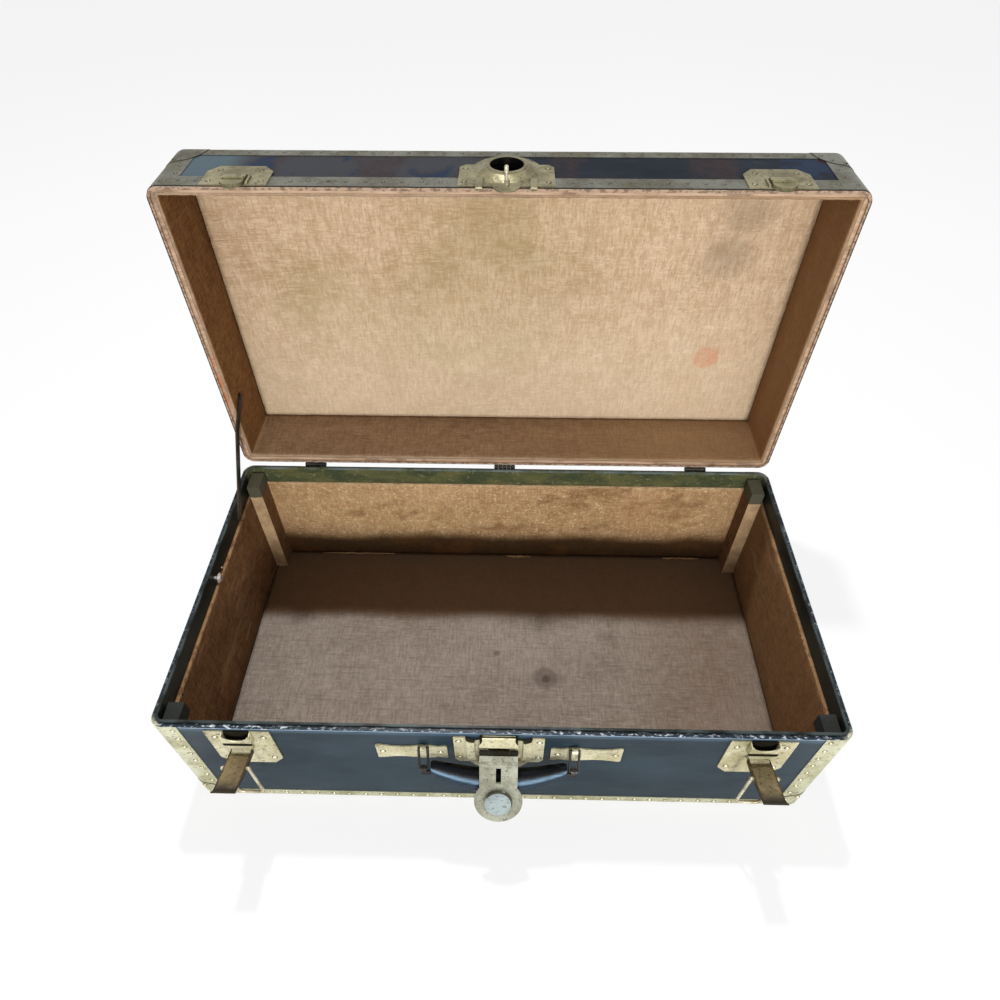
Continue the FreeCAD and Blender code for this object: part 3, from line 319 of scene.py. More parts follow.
def lid_fibre_marks(m):
    """The lid's front: patches of steel blue, navy and purple brown, paler to its left; a bare fold."""
    top = m.step(m.z, LID_FRONT, -2, -0.5)
    m.lay((50, 51, 55), top, m.span(m.x, -0.03, 0.03, 0.9, 0))
    speckle = m.noise(90, 0.4, 0.62, 5, 0.7)
    strength = m.fade(top, 0.3, 1)
    brown = m.noise(1, 0.5, 0.58, 4, 0.65, (16, 6, 6))
    m.lay((46, 34, 33), brown, strength, m.fade(speckle, 0.35, 0.8))
    navy = m.noise(1, 0.54, 0.6, 4, 0.6, (13, 9, 9))
    m.lay((26, 38, 56), navy, strength)
    m.lay((72, 86, 92), top, m.span(m.x, -0.315, -0.275, 1, 0), 0.85)
    worn = m.noise(210, 0.42, 0.58, 5, 0.7, (0.6, 1, 1))
    m.lay((24, 25, 30), m.step(m.y, LID_RIM, 3.4, 2), 0.75)
    face = m.times(m.step(m.y, LID_RIM, 0.9, 0.3), m.span(worn, 0, 0.8, 0.45, 0.95))
    m.lay((184, 156, 132), face, m.step(m.absolute(m.x), HALF_W, -1.6, -0.9, 1, 0.15))


def valance_marks(m):
    """Painted light: the valance at the back, which faces the lamps, is a brighter olive green; a rubbed blue
    line along the top.
    """
    # painted light: the back valance is painted brighter olive green than the sides
    back = m.step(m.y, IN_Y, -16, -8)
    mottle = m.noise(45, 0.34, 0.66, 6, 0.7, (0.5, 1, 1))
    green = m.mix(mottle, (104, 104, 66), (66, 76, 54))
    green = m.mix(m.times(m.noise(240, 0.6, 0.68), 0.6), green, (150, 144, 112))
    m.lay(green, back, 0.9)
    top = m.step(m.z, VALANCE_TOP, -3.2, -1.6)
    worn = m.noise(80, 0.36, 0.6, 4, 0.55, (0.4, 0.4, 1))
    m.lay((120, 136, 140), top, worn, m.fade(back, 0.2, 0.7))


FIBRE = fibre_look("fibre_body", (33, 51, 62), (22, 37, 47), (88, 114, 130), fold_marks, 0.12, 0.9)
LID_FIBRE = fibre_look("fibre_lid", (25, 32, 42), (17, 22, 30), (70, 73, 78), lid_fibre_marks, 0.02, 0.7)
VALANCE = fibre_look("fibre_valance", (30, 34, 30), (20, 24, 22), (70, 74, 62), valance_marks, 0.12)
GRIME = fibre_look("grime", (70, 62, 42), (44, 38, 27), (96, 86, 60))

# ---- wood and leather ----


def lock_hole_shade(m):
    """1 inside the bore that takes the lock through the lid's front, where painted shade goes."""
    within = m.circle(m.x, m.plus(m.y, -HOLE_Y), HOLE_RADIUS + 0.4 * MM, HOLE_RADIUS + 1.1 * MM)
    return m.times(within, m.step(m.z, LID_FRONT, -12, -10))


def wood_look():
    """Board edges: pinkish grey where the cloth's turn-in is worn, painted black as shade inside the lock
    hole.
    """
    m = Look("rim_wood", (204, 176, 150))
    grain = m.noise(1, 0.35, 0.65, 5, 0.6, (18, 260, 260))
    m.lay((174, 144, 116), grain)
    m.lay((104, 82, 66), m.noise(40, 0.52, 0.66, 5), 0.5)
    lid_left = m.span(m.x, -0.36, -0.35, 1, 0)
    m.lay((196, 118, 70), m.along(m.z, 0.3, 0.44, 0.03), m.noise(30, 0.4, 0.6), lid_left, 0.7)
    # painted shade: black inside the lock hole
    m.lay((10, 8, 6), lock_hole_shade(m))
    return m.done(0.8, m.bump(grain, 0.2 * MM, 0.6), 0.06)


HIGHLIGHT_BAND, HIGHLIGHT_SOFT = 0.272, 0.06  # where round the roll the painted highlight lies, in turns


def leather_look():
    """Bridle leather gone black: fine cells, cross creases, a painted blue-grey highlight band and painted
    bluish light below it.
    """
    m = Look("grip_leather", (14, 16, 20))
    cloudy = m.noise(30, 0.35, 0.65, 5)
    m.lay((6, 7, 9), cloudy)
    laid = m.node("UVMap", uv_map="round").outputs[0]
    around = m.node("SeparateXYZ", {0: laid}).outputs[1]
    band = m.span(m.absolute(m.plus(around, -HIGHLIGHT_BAND)), 0, HIGHLIGHT_SOFT, 1, 0)
    patchy = m.noise(1, 0.2, 0.62, 4, 0.55, (60, 500, 500))
    # painted highlight: a blue-grey band round the roll, and painted light on the side below it
    m.lay((118, 144, 166), band, m.fade(patchy, 0.4, 1))
    m.lay((44, 62, 80), m.span(around, HIGHLIGHT_BAND - 0.01, HIGHLIGHT_BAND - 0.05), 0.6)
    m.lay((78, 92, 104), m.noise(75, 0.58, 0.7, 6, 0.7, (0.5, 1, 1)), 0.3)
    creases = m.bump(m.noise(1, 0.45, 0.6, 3, 0.55, (700, 120, 120)), 0.12 * MM, 0.5)
    skin = m.bump(m.cells(900, 0.6), 0.05 * MM, 0.4, creases)
    return m.done(m.fade(cloudy, 0.3, 0.42), skin, 0.08)


WOOD = wood_look()
LEATHER = leather_look()

# ---- metal ----


def brass_look(name, bright, dull, pits, metal=0.35, rough=(0.36, 0.6), green=0.15, marks=None, edge=0.5):
    """Old brass-plated sheet: rubbed bright on its edges, darkened in its corners by grime and painted shade,
    dull and speckled.
    """
    m = Look(name, bright)
    cloudy = m.noise(26, 0.36, 0.64, 5, 0.65)
    m.lay(dull, cloudy)
    m.lay((120, 128, 92), m.noise(13, 0.56, 0.7, 4), green)
    speck = m.noise(300, 0.56, 0.68, 3, 0.6)
    m.lay(pits, speck, 0.65)
    m.lay(pits, m.noise(70, 0.58, 0.7, 5, 0.7), 0.6)
    m.lay(linear(bright, 1.35, 0.02), m.rubbed_edge(0.55 * MM), edge)
    # grime and painted shade in hollows and inner corners
    m.lay(linear(pits, 0.35), m.cavity(3.5 * MM), 0.8)
    shine = 0.2
    if marks is not None:
        marks(m)
    if m.painted_shade is not None:
        metal = m.fade(m.painted_shade, metal, 0)
        shine = m.fade(m.painted_shade, shine, 0)
    level = m.plus(m.times(cloudy, 0.6), m.times(speck, 0.4))
    dents = m.bump(m.noise(60, 0.3, 0.7), 0.35 * MM, 0.6)
    hammered = m.bump(m.noise(210, 0.3, 0.7, 2), 0.12 * MM, 0.5, dents)
    pit = m.bump(speck, -0.05 * MM, 0.6, hammered)
    return m.done(m.fade(level, *rough), pit, shine, metal)


def seams(corner, middle_z=None):
    """Dark lines along the edges of the corner caps."""
    def add(m):
        m.lay((44, 38, 28), m.ring(m.corner_distance(corner, middle_z), CAP_REACH, 1.5 * MM), 0.85)
    return add


def hinge_shade(m, radius):
    """1 close to the pin that the hasp turns on, where the knuckles are painted black as shade."""
    return m.circle(m.plus(m.y, -HASP_PIN.y), m.plus(m.z, -HASP_PIN.z), radius, radius + 0.5 * MM)


def body_plate_marks(m):
    """Painted shade: the drawbolt pockets, the pockets beside the hood and the gap under it are painted
    black; grimy edges.
    """
    dark = hinge_shade(m, 4.2 * MM)
    for side in (-1, 1):
        mid = side * BOLT_PLACE
        pocket = m.inside((mid - BOLT_POCKET_HALF, -HALF_D - 3 * MM, BOLT_POCKET_LOW),
                          (mid + BOLT_POCKET_HALF, 0, BOLT_POCKET_HIGH), 0.5 * MM)
        dark = m.either(pocket, dark)
    off_x = m.plus(m.absolute(m.x), -LUG_PLACE)
    dark = m.either(m.circle(off_x, m.plus(m.z, -LUG_HEIGHT), 9.4 * MM, 9.9 * MM), dark)
    low = m.step(m.y, -HALF_D, -2.2, -1.2)
    m.lay((118, 106, 70), low, m.noise(34, 0.4, 0.62, 4), 0.3)
    # painted shade: the pockets and the knuckles under the hood are black and not shiny
    m.painted_shade = dark
    m.lay((10, 8, 6), dark, 0.97)


def hasp_marks(m):
    """The hasp's knuckles are painted black as shade; grime lies along its fold; above its lock disc lies a
    crescent of painted shadow, and a darker ring round the disc.
    """
    m.lay((84, 78, 62), m.along(m.z, *HASP_FOLD, 0.8 * MM), m.noise(90, 0.4, 0.6, 4), 0.5)
    # painted shade: the hasp's knuckles are painted black
    m.painted_shade = hinge_shade(m, 3.6 * MM)
    m.lay((12, 10, 8), m.painted_shade, 0.95)
    # painted shadow: a dark crescent round the upper side of the lock disc
    disc_shadow_ring = m.near(DISC_AT, DISC_RADIUS + 2.2 * MM, 0.9 * MM)
    upper = m.step(m.plus(m.z, m.times(m.x, 0.35)), DISC_AT.z, -1, 5)
    m.lay((40, 36, 28), disc_shadow_ring, upper, 0.85)
    outer = m.near(DISC_AT, DISC_RADIUS + 6 * MM, 1.2 * MM)
    m.lay((96, 92, 78), outer, m.fade(disc_shadow_ring, 1, 0), 0.35)


def lever_marks(m):
    """The levers' lower ends are dark with handling; their long edges are darker."""
    tip = m.step(m.y, -HALF_D, -44, -58)
    m.lay((52, 47, 40), tip, m.fade(m.noise(40, 0.35, 0.6, 4), 0.55, 1))
    off = m.absolute(m.plus(m.absolute(m.x), -BOLT_PLACE))
    m.lay((48, 38, 26), m.step(off, LEVER_HALF, -2.2, -0.8), 0.75)


def lid_plate_marks(m):
    """The lid's lock plate is painted black as shade inside its hole."""
    m.lay((14, 11, 9), lock_hole_shade(m))


BODY_SEAMS = seams((HALF_W, HALF_D, cover_low.z))
LID_SEAMS = seams((HALF_W, LID_TOP, HALF_D), (LID_FRONT + LID_BACK) / 2)
BINDING = brass_look("binding_brass", (204, 203, 172), (168, 165, 130), (92, 82, 54), marks=BODY_SEAMS)
NAIL = brass_look("nail_brass", (240, 236, 206), (214, 206, 160), (120, 108, 72), 0.5, (0.25, 0.4), 0)
# painted shade: the lid's bindings are the body's brass painted darker
SHADED_LID_BINDING = brass_look("lid_binding_brass_shaded", (92, 92, 82), (68, 64, 52), (44, 34, 26), 0.25,
                         marks=LID_SEAMS, edge=0.3)
PLATE = brass_look("plate_brass", (214, 208, 176), (180, 172, 134), (88, 76, 50), 0.25, (0.45, 0.65),
                   marks=body_plate_marks)
# painted shade: the lid's plates are the body plates' brass painted darker
SHADED_LID_PLATE = brass_look("lid_plate_brass_shaded", (128, 121, 92), (92, 86, 62), (48, 40, 28), 0.3,
                       marks=lid_plate_marks)
HINGE_STEEL = brass_look("hinge_steel", (58, 54, 44), (38, 35, 30), (22, 18, 14), 0.3, (0.4, 0.6), 0)
LEVER = brass_look("lever_brass", (146, 130, 98), (104, 90, 64), (48, 38, 26), 0.4, marks=lever_marks)
NICKEL = brass_look("hasp_nickel", (166, 167, 150), (122, 122, 106), (60, 56, 44), 0.35, (0.34, 0.55), 0.1,
                    hasp_marks)
DISC = brass_look("disc_nickel", (156, 168, 168), (122, 132, 134), (52, 56, 56), 0.4, (0.3, 0.48), 0)
WIRE = brass_look("wire_steel", (222, 214, 190), (160, 148, 118), (66, 54, 40), 0.6, (0.26, 0.45), 0)
DARK = brass_look("dark_steel", (66, 63, 60), (38, 36, 34), (20, 17, 14), 0.5, (0.35, 0.5), 0)
STUD = brass_look("stud_nickel", (226, 226, 222), (172, 168, 160), (84, 76, 66), 0.6, (0.2, 0.4), 0)

# ---- cloth ----


def drawn_out(axis, lengthwise, crosswise):
    """Noise scales that draw a mark out along one axis."""
    return tuple(lengthwise if name == axis else crosswise for name in "xyz")


def cloth_look(name, base, dark, pale, axes, marks=None, spread=0.9, pitch=1 * MM):
    """Pasted lining cloth: two thread directions, uneven dye, slubs along the threads."""
    m = Look(name, base)
    across, up = axes
    m.blot = m.noise(5.5, 0.36, 0.68, 5, 0.6)
    m.fine = m.noise(46, 0.35, 0.65, 4, 0.7)
    m.lay(dark, m.blot, 0.85 * spread)
    m.lay(pale, m.fine, 0.45 * spread)
    weft, warp = (m.noise(1, 0.4, 0.62, 3, 0.55, drawn_out(axis, 38, 700)) for axis in axes)
    thick_weft, thick_warp = (m.noise(1, 0.46, 0.62, 4, 0.7, drawn_out(axis, 70, 300)) for axis in axes)
    m.lay(pale, weft, 0.3 * spread)
    m.lay(dark, warp, 0.3 * spread)
    m.lay(pale, thick_weft, 0.42 * spread)
    m.lay(dark, thick_warp, 0.42 * spread)
    m.lay(dark, m.noise(330, 0.6, 0.68, 2, 0.6), 0.5 * spread)
    if marks is not None:
        marks(m)
    rows = m.threads(getattr(m, across), pitch)
    columns = m.threads(getattr(m, up), pitch)
    weave = m.plus(m.times(rows, m.plus(0.3, warp)), m.times(columns, m.plus(0.3, weft)))
    lumps = m.bump(m.noise(14, 0.3, 0.7), 0.9 * MM, 0.6)
    slubs = m.bump(m.plus(thick_weft, thick_warp), 0.3 * MM, 0.8, lumps)
    return m.done(0.92, m.bump(weave, 0.1 * MM, 0.4, slubs), 0.06)


# places on the lid panel, seen open: x, z and radius
SMUDGES = ((0.29, 0.535, 0.03), (0.275, 0.485, 0.03), (0.3, 0.585, 0.022))
GREEN_CLOUDS = ((-0.249, 0.416, 0.05), (0.004, 0.5, 0.09), (-0.036, 0.388, 0.08), (-0.133, 0.37, 0.07))
ORANGE_SPOT = (0.2814, 0.329, 0.015)


def canvas_marks(m):
    """Stains on the lid panel: a grey smudge, an orange spot, faint green and brown clouds; painted light
    makes it paler towards its foot.
    """
    def stain(x, z, radius, soft):
        return m.near((x, panel_low.y, z), radius, soft)

    wander = m.noise(16, 0.3, 0.7, 5, 0.65)
    smudge = m.either(*[stain(*place, 0.035) for place in SMUDGES])
    m.lay((150, 130, 108), m.span(m.plus(smudge, m.times(wander, 0.35)), 0.25, 1.2), 0.5)
    orange = m.plus(stain(*ORANGE_SPOT, 0.012), m.times(wander, 0.6))
    m.lay((214, 120, 78), m.span(orange, 0.6, 1), m.fade(m.fine, 0.6, 1), 0.62)
    for x, z, radius in GREEN_CLOUDS:
        cloud = stain(x, z, radius, radius * 0.9)
        m.lay((150, 138, 86), cloud, m.span(m.blot, 0.1, 0.9, 0.4, 1), 0.3)
    m.lay((150, 118, 84), m.step(m.absolute(m.x), IN_X, -12, -2), 0.18)
    # painted light: the panel is paler towards its foot
    m.lay((255, 234, 200), m.span(m.plus(m.z, m.times(wander, 0.05)), 0.5, 0.27), 0.36)


def lid_side_marks(m):
    """The lid's side cloth turns pale where it is folded over the rim, is painted lighter to the right as
    light, and darkens into the corner.
    """
    rim = m.step(m.y, LID_RIM, 5, 3.4)
    m.lay((178, 152, 126), rim, m.fade(m.fine, 0.6, 1))
    # painted light: the right-hand cloth is lighter
    m.lay((166, 130, 92), m.span(m.x, 0, 0.3), 0.5)
    m.lay((70, 46, 30), m.span(m.y, LID_TOP - 0.045, LID_TOP - 0.01), 0.25)


def frayed_and_lit_top(m, low, high):
    """1 above the lining's top edge, which small unevenness makes ragged: frayed cloth with a painted
    highlight.
    """
    return m.span(m.plus(m.z, m.times(m.fine, 3 * MM)), LINER_TOP + low, LINER_TOP + high)


RUST_AT = (0.24, IN_Y, 0.115)


def wall_marks(m):
    """Painted shadow: the lower wall is painted dark and reddish, the upper wall tan; pale frayed top edge,
    partly a painted highlight.
    """
    wander = m.noise(9, 0.2, 0.8, 4, 0.55, (1, 1, 0.2))
    # painted shadow on the lower part of the wall
    low = m.span(m.plus(m.z, m.times(wander, 0.014)), 0.078, 0.05)
    m.lay((54, 34, 17), low, 0.9)
    m.lay((240, 214, 168), m.noise(250, 0.54, 0.66, 4, 0.7), m.fade(low, 1, 0), 0.75)
    m.lay((116, 78, 42), m.noise(13, 0.5, 0.68, 5, 0.65, (1, 1, 1.6)), 0.6)
    m.lay((112, 72, 44), m.span(m.absolute(m.x), 0.28, 0.36), 0.25)
    m.lay((150, 88, 50), m.near(RUST_AT, 0.05, 0.05), m.blot, 0.5)
    m.lay((214, 184, 146), frayed_and_lit_top(m, -1 * MM, 1 * MM), 0.55)


def side_marks(m):
    """Brown side walls: darker towards the floor, lighter to the right as painted light, with rubbed tan
    patches and a pale top edge, partly a painted highlight.
    """
    m.lay((138, 104, 72), m.noise(12, 0.56, 0.72, 6, 0.65, (1, 1, 0.5)), 0.4)
    m.lay((52, 36, 24), m.span(m.z, 0.05, 0.012), 0.4)
    # painted light: the right-hand wall is lighter
    m.lay((166, 130, 92), m.span(m.x, 0, 0.3), 0.22)
    m.lay((170, 138, 108), m.noise(34, 0.55, 0.66, 6, 0.7, (1, 0.35, 1.4)), 0.28)
    m.lay((170, 136, 100), frayed_and_lit_top(m, -0.5 * MM, 1.5 * MM), 0.5)


FLOOR_STAINS = (  # x, y, radius, softness, strength, colour
    (0.0625, -0.0327, 0.017, 0.004, 0.55, (92, 80, 74)),  # the round blot
    (0.064, -0.034, 0.006, 0.003, 0.6, (58, 48, 44)),  # its dark middle
    (0.082, -0.034, 0.01, 0.006, 0.3, (92, 80, 74)),  # its tail
    (-0.0075, 0.0065, 0.0045, 0.0015, 0.55, (78, 62, 52)),  # a small spot
)
FAINT_STAIN_AT = (0.136, 0.04, FLOOR)


def floor_marks(m):
    """Floor: dusty grey in front, a painted shadow of the lid at the back, a round blot, a small spot, faint
    stains.
    """
    wander = m.noise(6, 0.2, 0.8, 5)
    # painted shadow: the back of the floor, where the lid's shadow falls
    m.lay((96, 68, 40), m.span(m.plus(m.y, m.times(wander, 0.012)), 0.066, 0.088), 0.86)
    m.lay((120, 96, 74), m.span(m.x, 0.1, 0.33), 0.35)
    m.lay((92, 84, 80), m.noise(1, 0.58, 0.66, 4, 0.6, (14, 260, 260)), 0.28)
    for x, y, radius, soft, strength, color in FLOOR_STAINS:
        m.lay(color, m.near((x, y, FLOOR), radius, soft), strength)
    m.lay((84, 66, 52), m.near(FAINT_STAIN_AT, 0.05, 0.05), m.noise(20, 0.5, 0.6), 0.25)


def post_marks(m):
    """Cloth-covered corner posts: the back posts' front face painted tan as light, dark fibre above the
    lining, the back posts' heads painted lighter as light.
    """
    rear = m.span(m.y, 0, 0.02)
    # painted light: the front face of the back posts is tan, the rest of the post cloth is the shaded colour
    face = m.times(m.step(m.y, IN_Y, -29.2, -29.8), rear)
    m.lay((206, 176, 136), face, m.fade(m.fine, 0.62, 0.95))
    head = m.span(m.plus(m.z, m.times(m.fine, 2 * MM)), LINER_TOP, LINER_TOP + 1.5 * MM)
    m.lay((50, 52, 50), head)
    # painted light: the back posts' heads are lighter
    m.lay((92, 90, 74), head, rear)


CANVAS = cloth_look("lid_canvas", (208, 178, 144), (180, 148, 112), (232, 208, 178), "xz", canvas_marks,
                    1.15, 1.15 * MM)
LID_SIDE = cloth_look("lid_side_cloth", (124, 86, 50), (88, 58, 32), (150, 112, 72), "zy", lid_side_marks)
LID_LONG = cloth_look("lid_long_cloth", (152, 122, 92), (122, 92, 66), (176, 148, 116), "xy", lid_side_marks)
WALL_CLOTH = cloth_look("body_wall_cloth", (196, 158, 114), (156, 116, 76), (222, 190, 146), "xz", wall_marks)
SIDE_CLOTH = cloth_look("body_side_cloth", (108, 77, 50), (74, 50, 32), (138, 104, 72), "yz", side_marks, 1)
FLOOR_CLOTH = cloth_look("body_floor_cloth", (146, 134, 124), (114, 101, 90), (168, 158, 148), "xy",
                         floor_marks)
POST_CLOTH = cloth_look("post_cloth", (112, 80, 52), (76, 50, 32), (142, 108, 76), "xz", post_marks, 1)
THREAD = cloth_look("loose_thread", (216, 190, 152), (176, 142, 104), (232, 212, 180), "xz", None, 0.8,
                    0.6 * MM)
TORN = cloth_look("torn_paper", (168, 128, 88), (120, 86, 56), (200, 166, 126), "xy", None, 1, 0.8 * MM)
STITCH = cloth_look("waxed_stitch", (60, 54, 46), (34, 30, 26), (92, 84, 70), "xz", None, 0.8, 0.5 * MM)

# ---- carried-over solids ----

PAINT = (
    (FIBRE, "body_cover"), (LID_FIBRE, "lid_cover"), (VALANCE, "body_valance"),
    (BINDING, "body_bottom_binding body_corner_bindings body_corner_caps"),
    (SHADED_LID_BINDING, "lid_rim_binding lid_top_binding lid_corner_bindings lid_corner_caps"),
    (PLATE, "lock_plate handle_plate_left handle_plate_right drawbolt_plate_left drawbolt_plate_right"),
    (HINGE_STEEL, "hinge_leaves_body hinge_leaves_lid"), (NICKEL, "hasp lock_case"),
    (SHADED_LID_PLATE, "lid_lock_plate catch_plate_left catch_plate_right"), (DISC, "lock_back_disc"),
    (LEVER, "drawbolt_lever_left drawbolt_lever_right"), (WIRE, "lock_staple bail_left bail_right"),
    (DARK, "handle_links handle_end_loops hinge_pins hasp_pin lever_pin_left lever_pin_right"),
    (DARK, "stay_rivet lid_stay"), (STUD, "stay_stud"), (POST_CLOTH, "corner_posts"),
    (SIDE_CLOTH, "body_liner"), (LID_LONG, "lid_liner"), (LEATHER, "handle_grip"),
    (FLOOR_CLOTH, "body_floor_lining"), (CANVAS, "lid_top_lining"),
)
painted = {name: look for look, names in PAINT for name in names.split()}
for name, thing in nodes.items():
    thing.data.materials.clear()
    thing.data.materials.append(painted.get(name, WOOD))

SOFTEN = {  # width of the rounded edges in mm
    0.3: "drawbolt_lever_left drawbolt_lever_right",
    0.35: "lock_plate drawbolt_plate_left drawbolt_plate_right",
    0.4: "lid_lock_plate catch_plate_left catch_plate_right lid_stay handle_plate_left handle_plate_right"
         " handle_end_loops",
    0.5: "hasp lock_case body_cover lid_cover",
    0.8: "body_valance lock_staple",
    1.2: "corner_posts",
}
for width, names in SOFTEN.items():
    for name in names.split():
        bevel = nodes[name].modifiers.new("soft_edges", "BEVEL")
        bevel.width = width * MM
        bevel.segments = 2
        bevel.limit_method = "ANGLE"
        bevel.angle_limit = math.radians(35)
for name in ("bail_left", "bail_right"):
    swell = nodes[name].modifiers.new("plating", "DISPLACE")
    swell.strength = 0.4 * MM
    swell.mid_level = 0

# ---- making pieces ----


def add_object(name, data):
    """A new object in the scene."""
    thing = bpy.data.objects.new(name, data)
    scene.collection.objects.link(thing)
    return thing


def mesh_object(name, bm, looks):
    """A new object from a bmesh, painted."""
    mesh = bpy.data.meshes.new(name)
    bm.to_mesh(mesh)
    bm.free()
    for look in looks:
        mesh.materials.append(look)
    return add_object(name, mesh)


def piece(name, bm, looks, body):
    """A new smooth object, tied to its body."""
    thing = mesh_object(name, bm, looks)
    thing.data.shade_smooth()
    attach(thing, body)
    return thing


def circle_points(bm, at, turn, radius, height, sides):
    """A ring of points round a place: turn says where its own Z points."""
    ring = []
    for k in range(sides):
        a = 2 * math.pi * k / sides
        ring.append(bm.verts.new(at + turn @ Vector((radius * math.cos(a), radius * math.sin(a), height))))
    return ring


def join_rings(bm, rings):
    """Faces over the first ring of points and between rings; gives them back level by level."""
    levels = [[bm.faces.new(list(reversed(rings[0])))]]
    for low, high in zip(rings, rings[1:]):
        quads = zip(low, low[1:] + low[:1], high[1:] + high[:1], high)
        levels.append([bm.faces.new(quad) for quad in quads])
    return levels


# share of the radius, height as a share of the head's; the first two rings are the grime round it
NAIL_PROFILE = ((1.5, -0.25), (1.42, 0.07), (1, 0.1), (0.95, 0.4), (0.64, 0.86))
NAIL_SIDES = 10


def dome(bm, at, normal, radius, height):
    """A small domed nail head standing on a surface, in a thin ring of grime."""
    at = Vector(at)
    turn = Vector(normal).normalized().to_track_quat("Z", "Y").to_matrix()
    rings = []
    for share, up in NAIL_PROFILE:
        rings.append(circle_points(bm, at, turn, radius * share, height * up, NAIL_SIDES))
    top = bm.verts.new(at + turn @ Vector((0, 0, height)))
    levels = join_rings(bm, rings)
    for face in levels[0] + levels[1] + levels[2]:
        face.material_index = 1
    for a, b in zip(rings[-1], rings[-1][1:] + rings[-1][:1]):
        bm.faces.new((a, b, top))


def nail_set(name, places, look, body, radius=2.1 * MM, height=1.2 * MM):
    """One piece with a nail at every place."""
    bm = bmesh.new()
    for at, normal in places:
        dome(bm, at, normal, radius, height)
    return piece(name, bm, [look, GRIME], body)


# ---- nails and rivets ----

random.seed(7)

SKIN = 0.7 * MM  # thickness of the bindings
CAP_SKIN = 1.1 * MM
UPRIGHT = 31 * MM  # how far a corner binding reaches round its corner
INSET = 7 * MM  # from a binding's edge to its nails
PITCH = 20 * MM
JITTER = 0.5 * MM


def row(start, end, normal):
    """Nails set by hand along a line: about one pitch apart, a little off true."""
    start, end = Vector(start), Vector(end)
    count = max(1, round((end - start).length / PITCH))
    along = (end - start).normalized()
    side = along.cross(Vector(normal))
    found = []
    for k in range(count + 1):
        at = start.lerp(end, k / count)
        at = at + along * random.uniform(-1, 1) * JITTER * 2 + side * random.uniform(-1, 1) * JITTER
        found.append((at, normal))
    return found


def box_rows(heights, corner_rows):
    """Nail places on the four faces of a box: rows along at heights, rows up the corner bindings."""
    found = []
    for along_x in (True, False):
        reach, out = (HALF_W, HALF_D) if along_x else (HALF_D, HALF_W)
        for sign in (-1, 1):
            away = sign * (out + SKIN)
            normal = (0, sign, 0) if along_x else (sign, 0, 0)
            lines = [(-reach + gap, h, reach - gap, h) for h, gap in heights]
            for side in (-1, 1):
                u = side * (reach - UPRIGHT + INSET)
                lines += [(u, a, u, b) for a, b in corner_rows]
            for u, a, v, b in lines:
                ends = ((u, away, a), (v, away, b)) if along_x else ((away, u, a), (away, v, b))
                found += row(*ends, normal)
    return found


def cap_nails(level, up):
    """Three nails on each face of each corner cap, along its curved edge."""
    found = []
    r = CAP_REACH - INSET
    for sx in (-1, 1):
        for sy in (-1, 1):
            for degrees in (24, 48, 72):
                a = math.radians(degrees)
                side, h = r * math.cos(a), level + up * (r * math.sin(a))
                found.append(((sx * (HALF_W - side), sy * (HALF_D + CAP_SKIN), h), (0, sy, 0)))
                found.append(((sx * (HALF_W + CAP_SKIN), sy * (HALF_D - side), h), (sx, 0, 0)))
    return found


def stand_open(places):
    """Nail places of the closed lid, as they are when it stands open."""
    return [(shut_to_open(at), shut_dir(normal)) for at, normal in places]


GAP = CAP_REACH + 8 * MM
SHUT_TOP = RIM + (LID_TOP - LID_RIM)
body_nails = box_rows([(13.5 * MM, GAP)], [(50 * MM, RIM - 8 * MM)]) + cap_nails(cover_low.z, 1)
nail_set("body_binding_nails", body_nails, NAIL, "trunk")

lid_rows = box_rows([(RIM + 14 * MM, 14 * MM), (SHUT_TOP - 12 * MM, GAP)],
                    [(RIM + 32 * MM, SHUT_TOP - 50 * MM)]) + cap_nails(SHUT_TOP, -1)
KEEP_CLEAR = ((0, 56 * MM), (-BOLT_PLACE, 40 * MM), (BOLT_PLACE, 40 * MM))  # middle and reach


def clear_of_plates(at):
    """Nails under the lid's front plates are left out."""
    on_front = at[1] < -HALF_D and at[2] < RIM + 60 * MM
    return not (on_front and any(abs(at[0] - middle) < reach for middle, reach in KEEP_CLEAR))


lid_nails = stand_open([(p, n) for p, n in lid_rows if clear_of_plates(p)])
nail_set("lid_binding_nails", lid_nails, SHADED_LID_BINDING, "lid", 1.8 * MM, 1 * MM)

# rivets in the front plates, all in mm: x from a plate's middle or the trunk's, height, and how far out
BOLT_RIVETS = ((27, 68, 1.4), (27, 15, 1.4), (-27, 15, 1.4), (-27, 68, 1.4))
LOCK_RIVETS = ((66, 151, 1.5), (131, 151, 1.5), (44.5, 140, 1.5), (44.5, 181, 1.5))
CATCH_RIVETS = ((-28, 11, 2.1), (28, 11, 2.1), (-22, 38, 2.1), (22, 38, 2.1))
LID_LOCK_RIVETS = ((44.5, 12, 2), (44.5, 46, 2))


def front_rivets(middle, turn, foot, places):
    """Rivets on the front of the box: turn -1 mirrors their places."""
    found = []
    for x, height, out in places:
        found.append(((middle + turn * x * MM, -HALF_D - out * MM, foot + height * MM), (0, -1, 0)))
    return found


rivets = []
lid_rivets = []
for side, hand in ((-1, "left"), (1, "right")):
    plate_low, plate_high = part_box("drawbolt_plate_" + hand)
    rivets += front_rivets((plate_low.x + plate_high.x) / 2, 1, plate_low.z, BOLT_RIVETS)
    rivets += front_rivets(0, side, 0, LOCK_RIVETS)
    plate_low, plate_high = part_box("catch_plate_" + hand)
    lid_rivets += front_rivets((plate_low.x + plate_high.x) / 2, 1, RIM, CATCH_RIVETS)
    lid_rivets += front_rivets(0, side, RIM, LID_LOCK_RIVETS)
nail_set("body_plate_rivets", rivets, NAIL, "trunk", 2.5 * MM, 1.3 * MM)
nail_set("lid_plate_rivets", stand_open(lid_rivets), SHADED_LID_PLATE, "lid", 2.4 * MM, 1 * MM)

# ---- linings ----

CELL = 6 * MM
RELIEF = 0.35 * MM


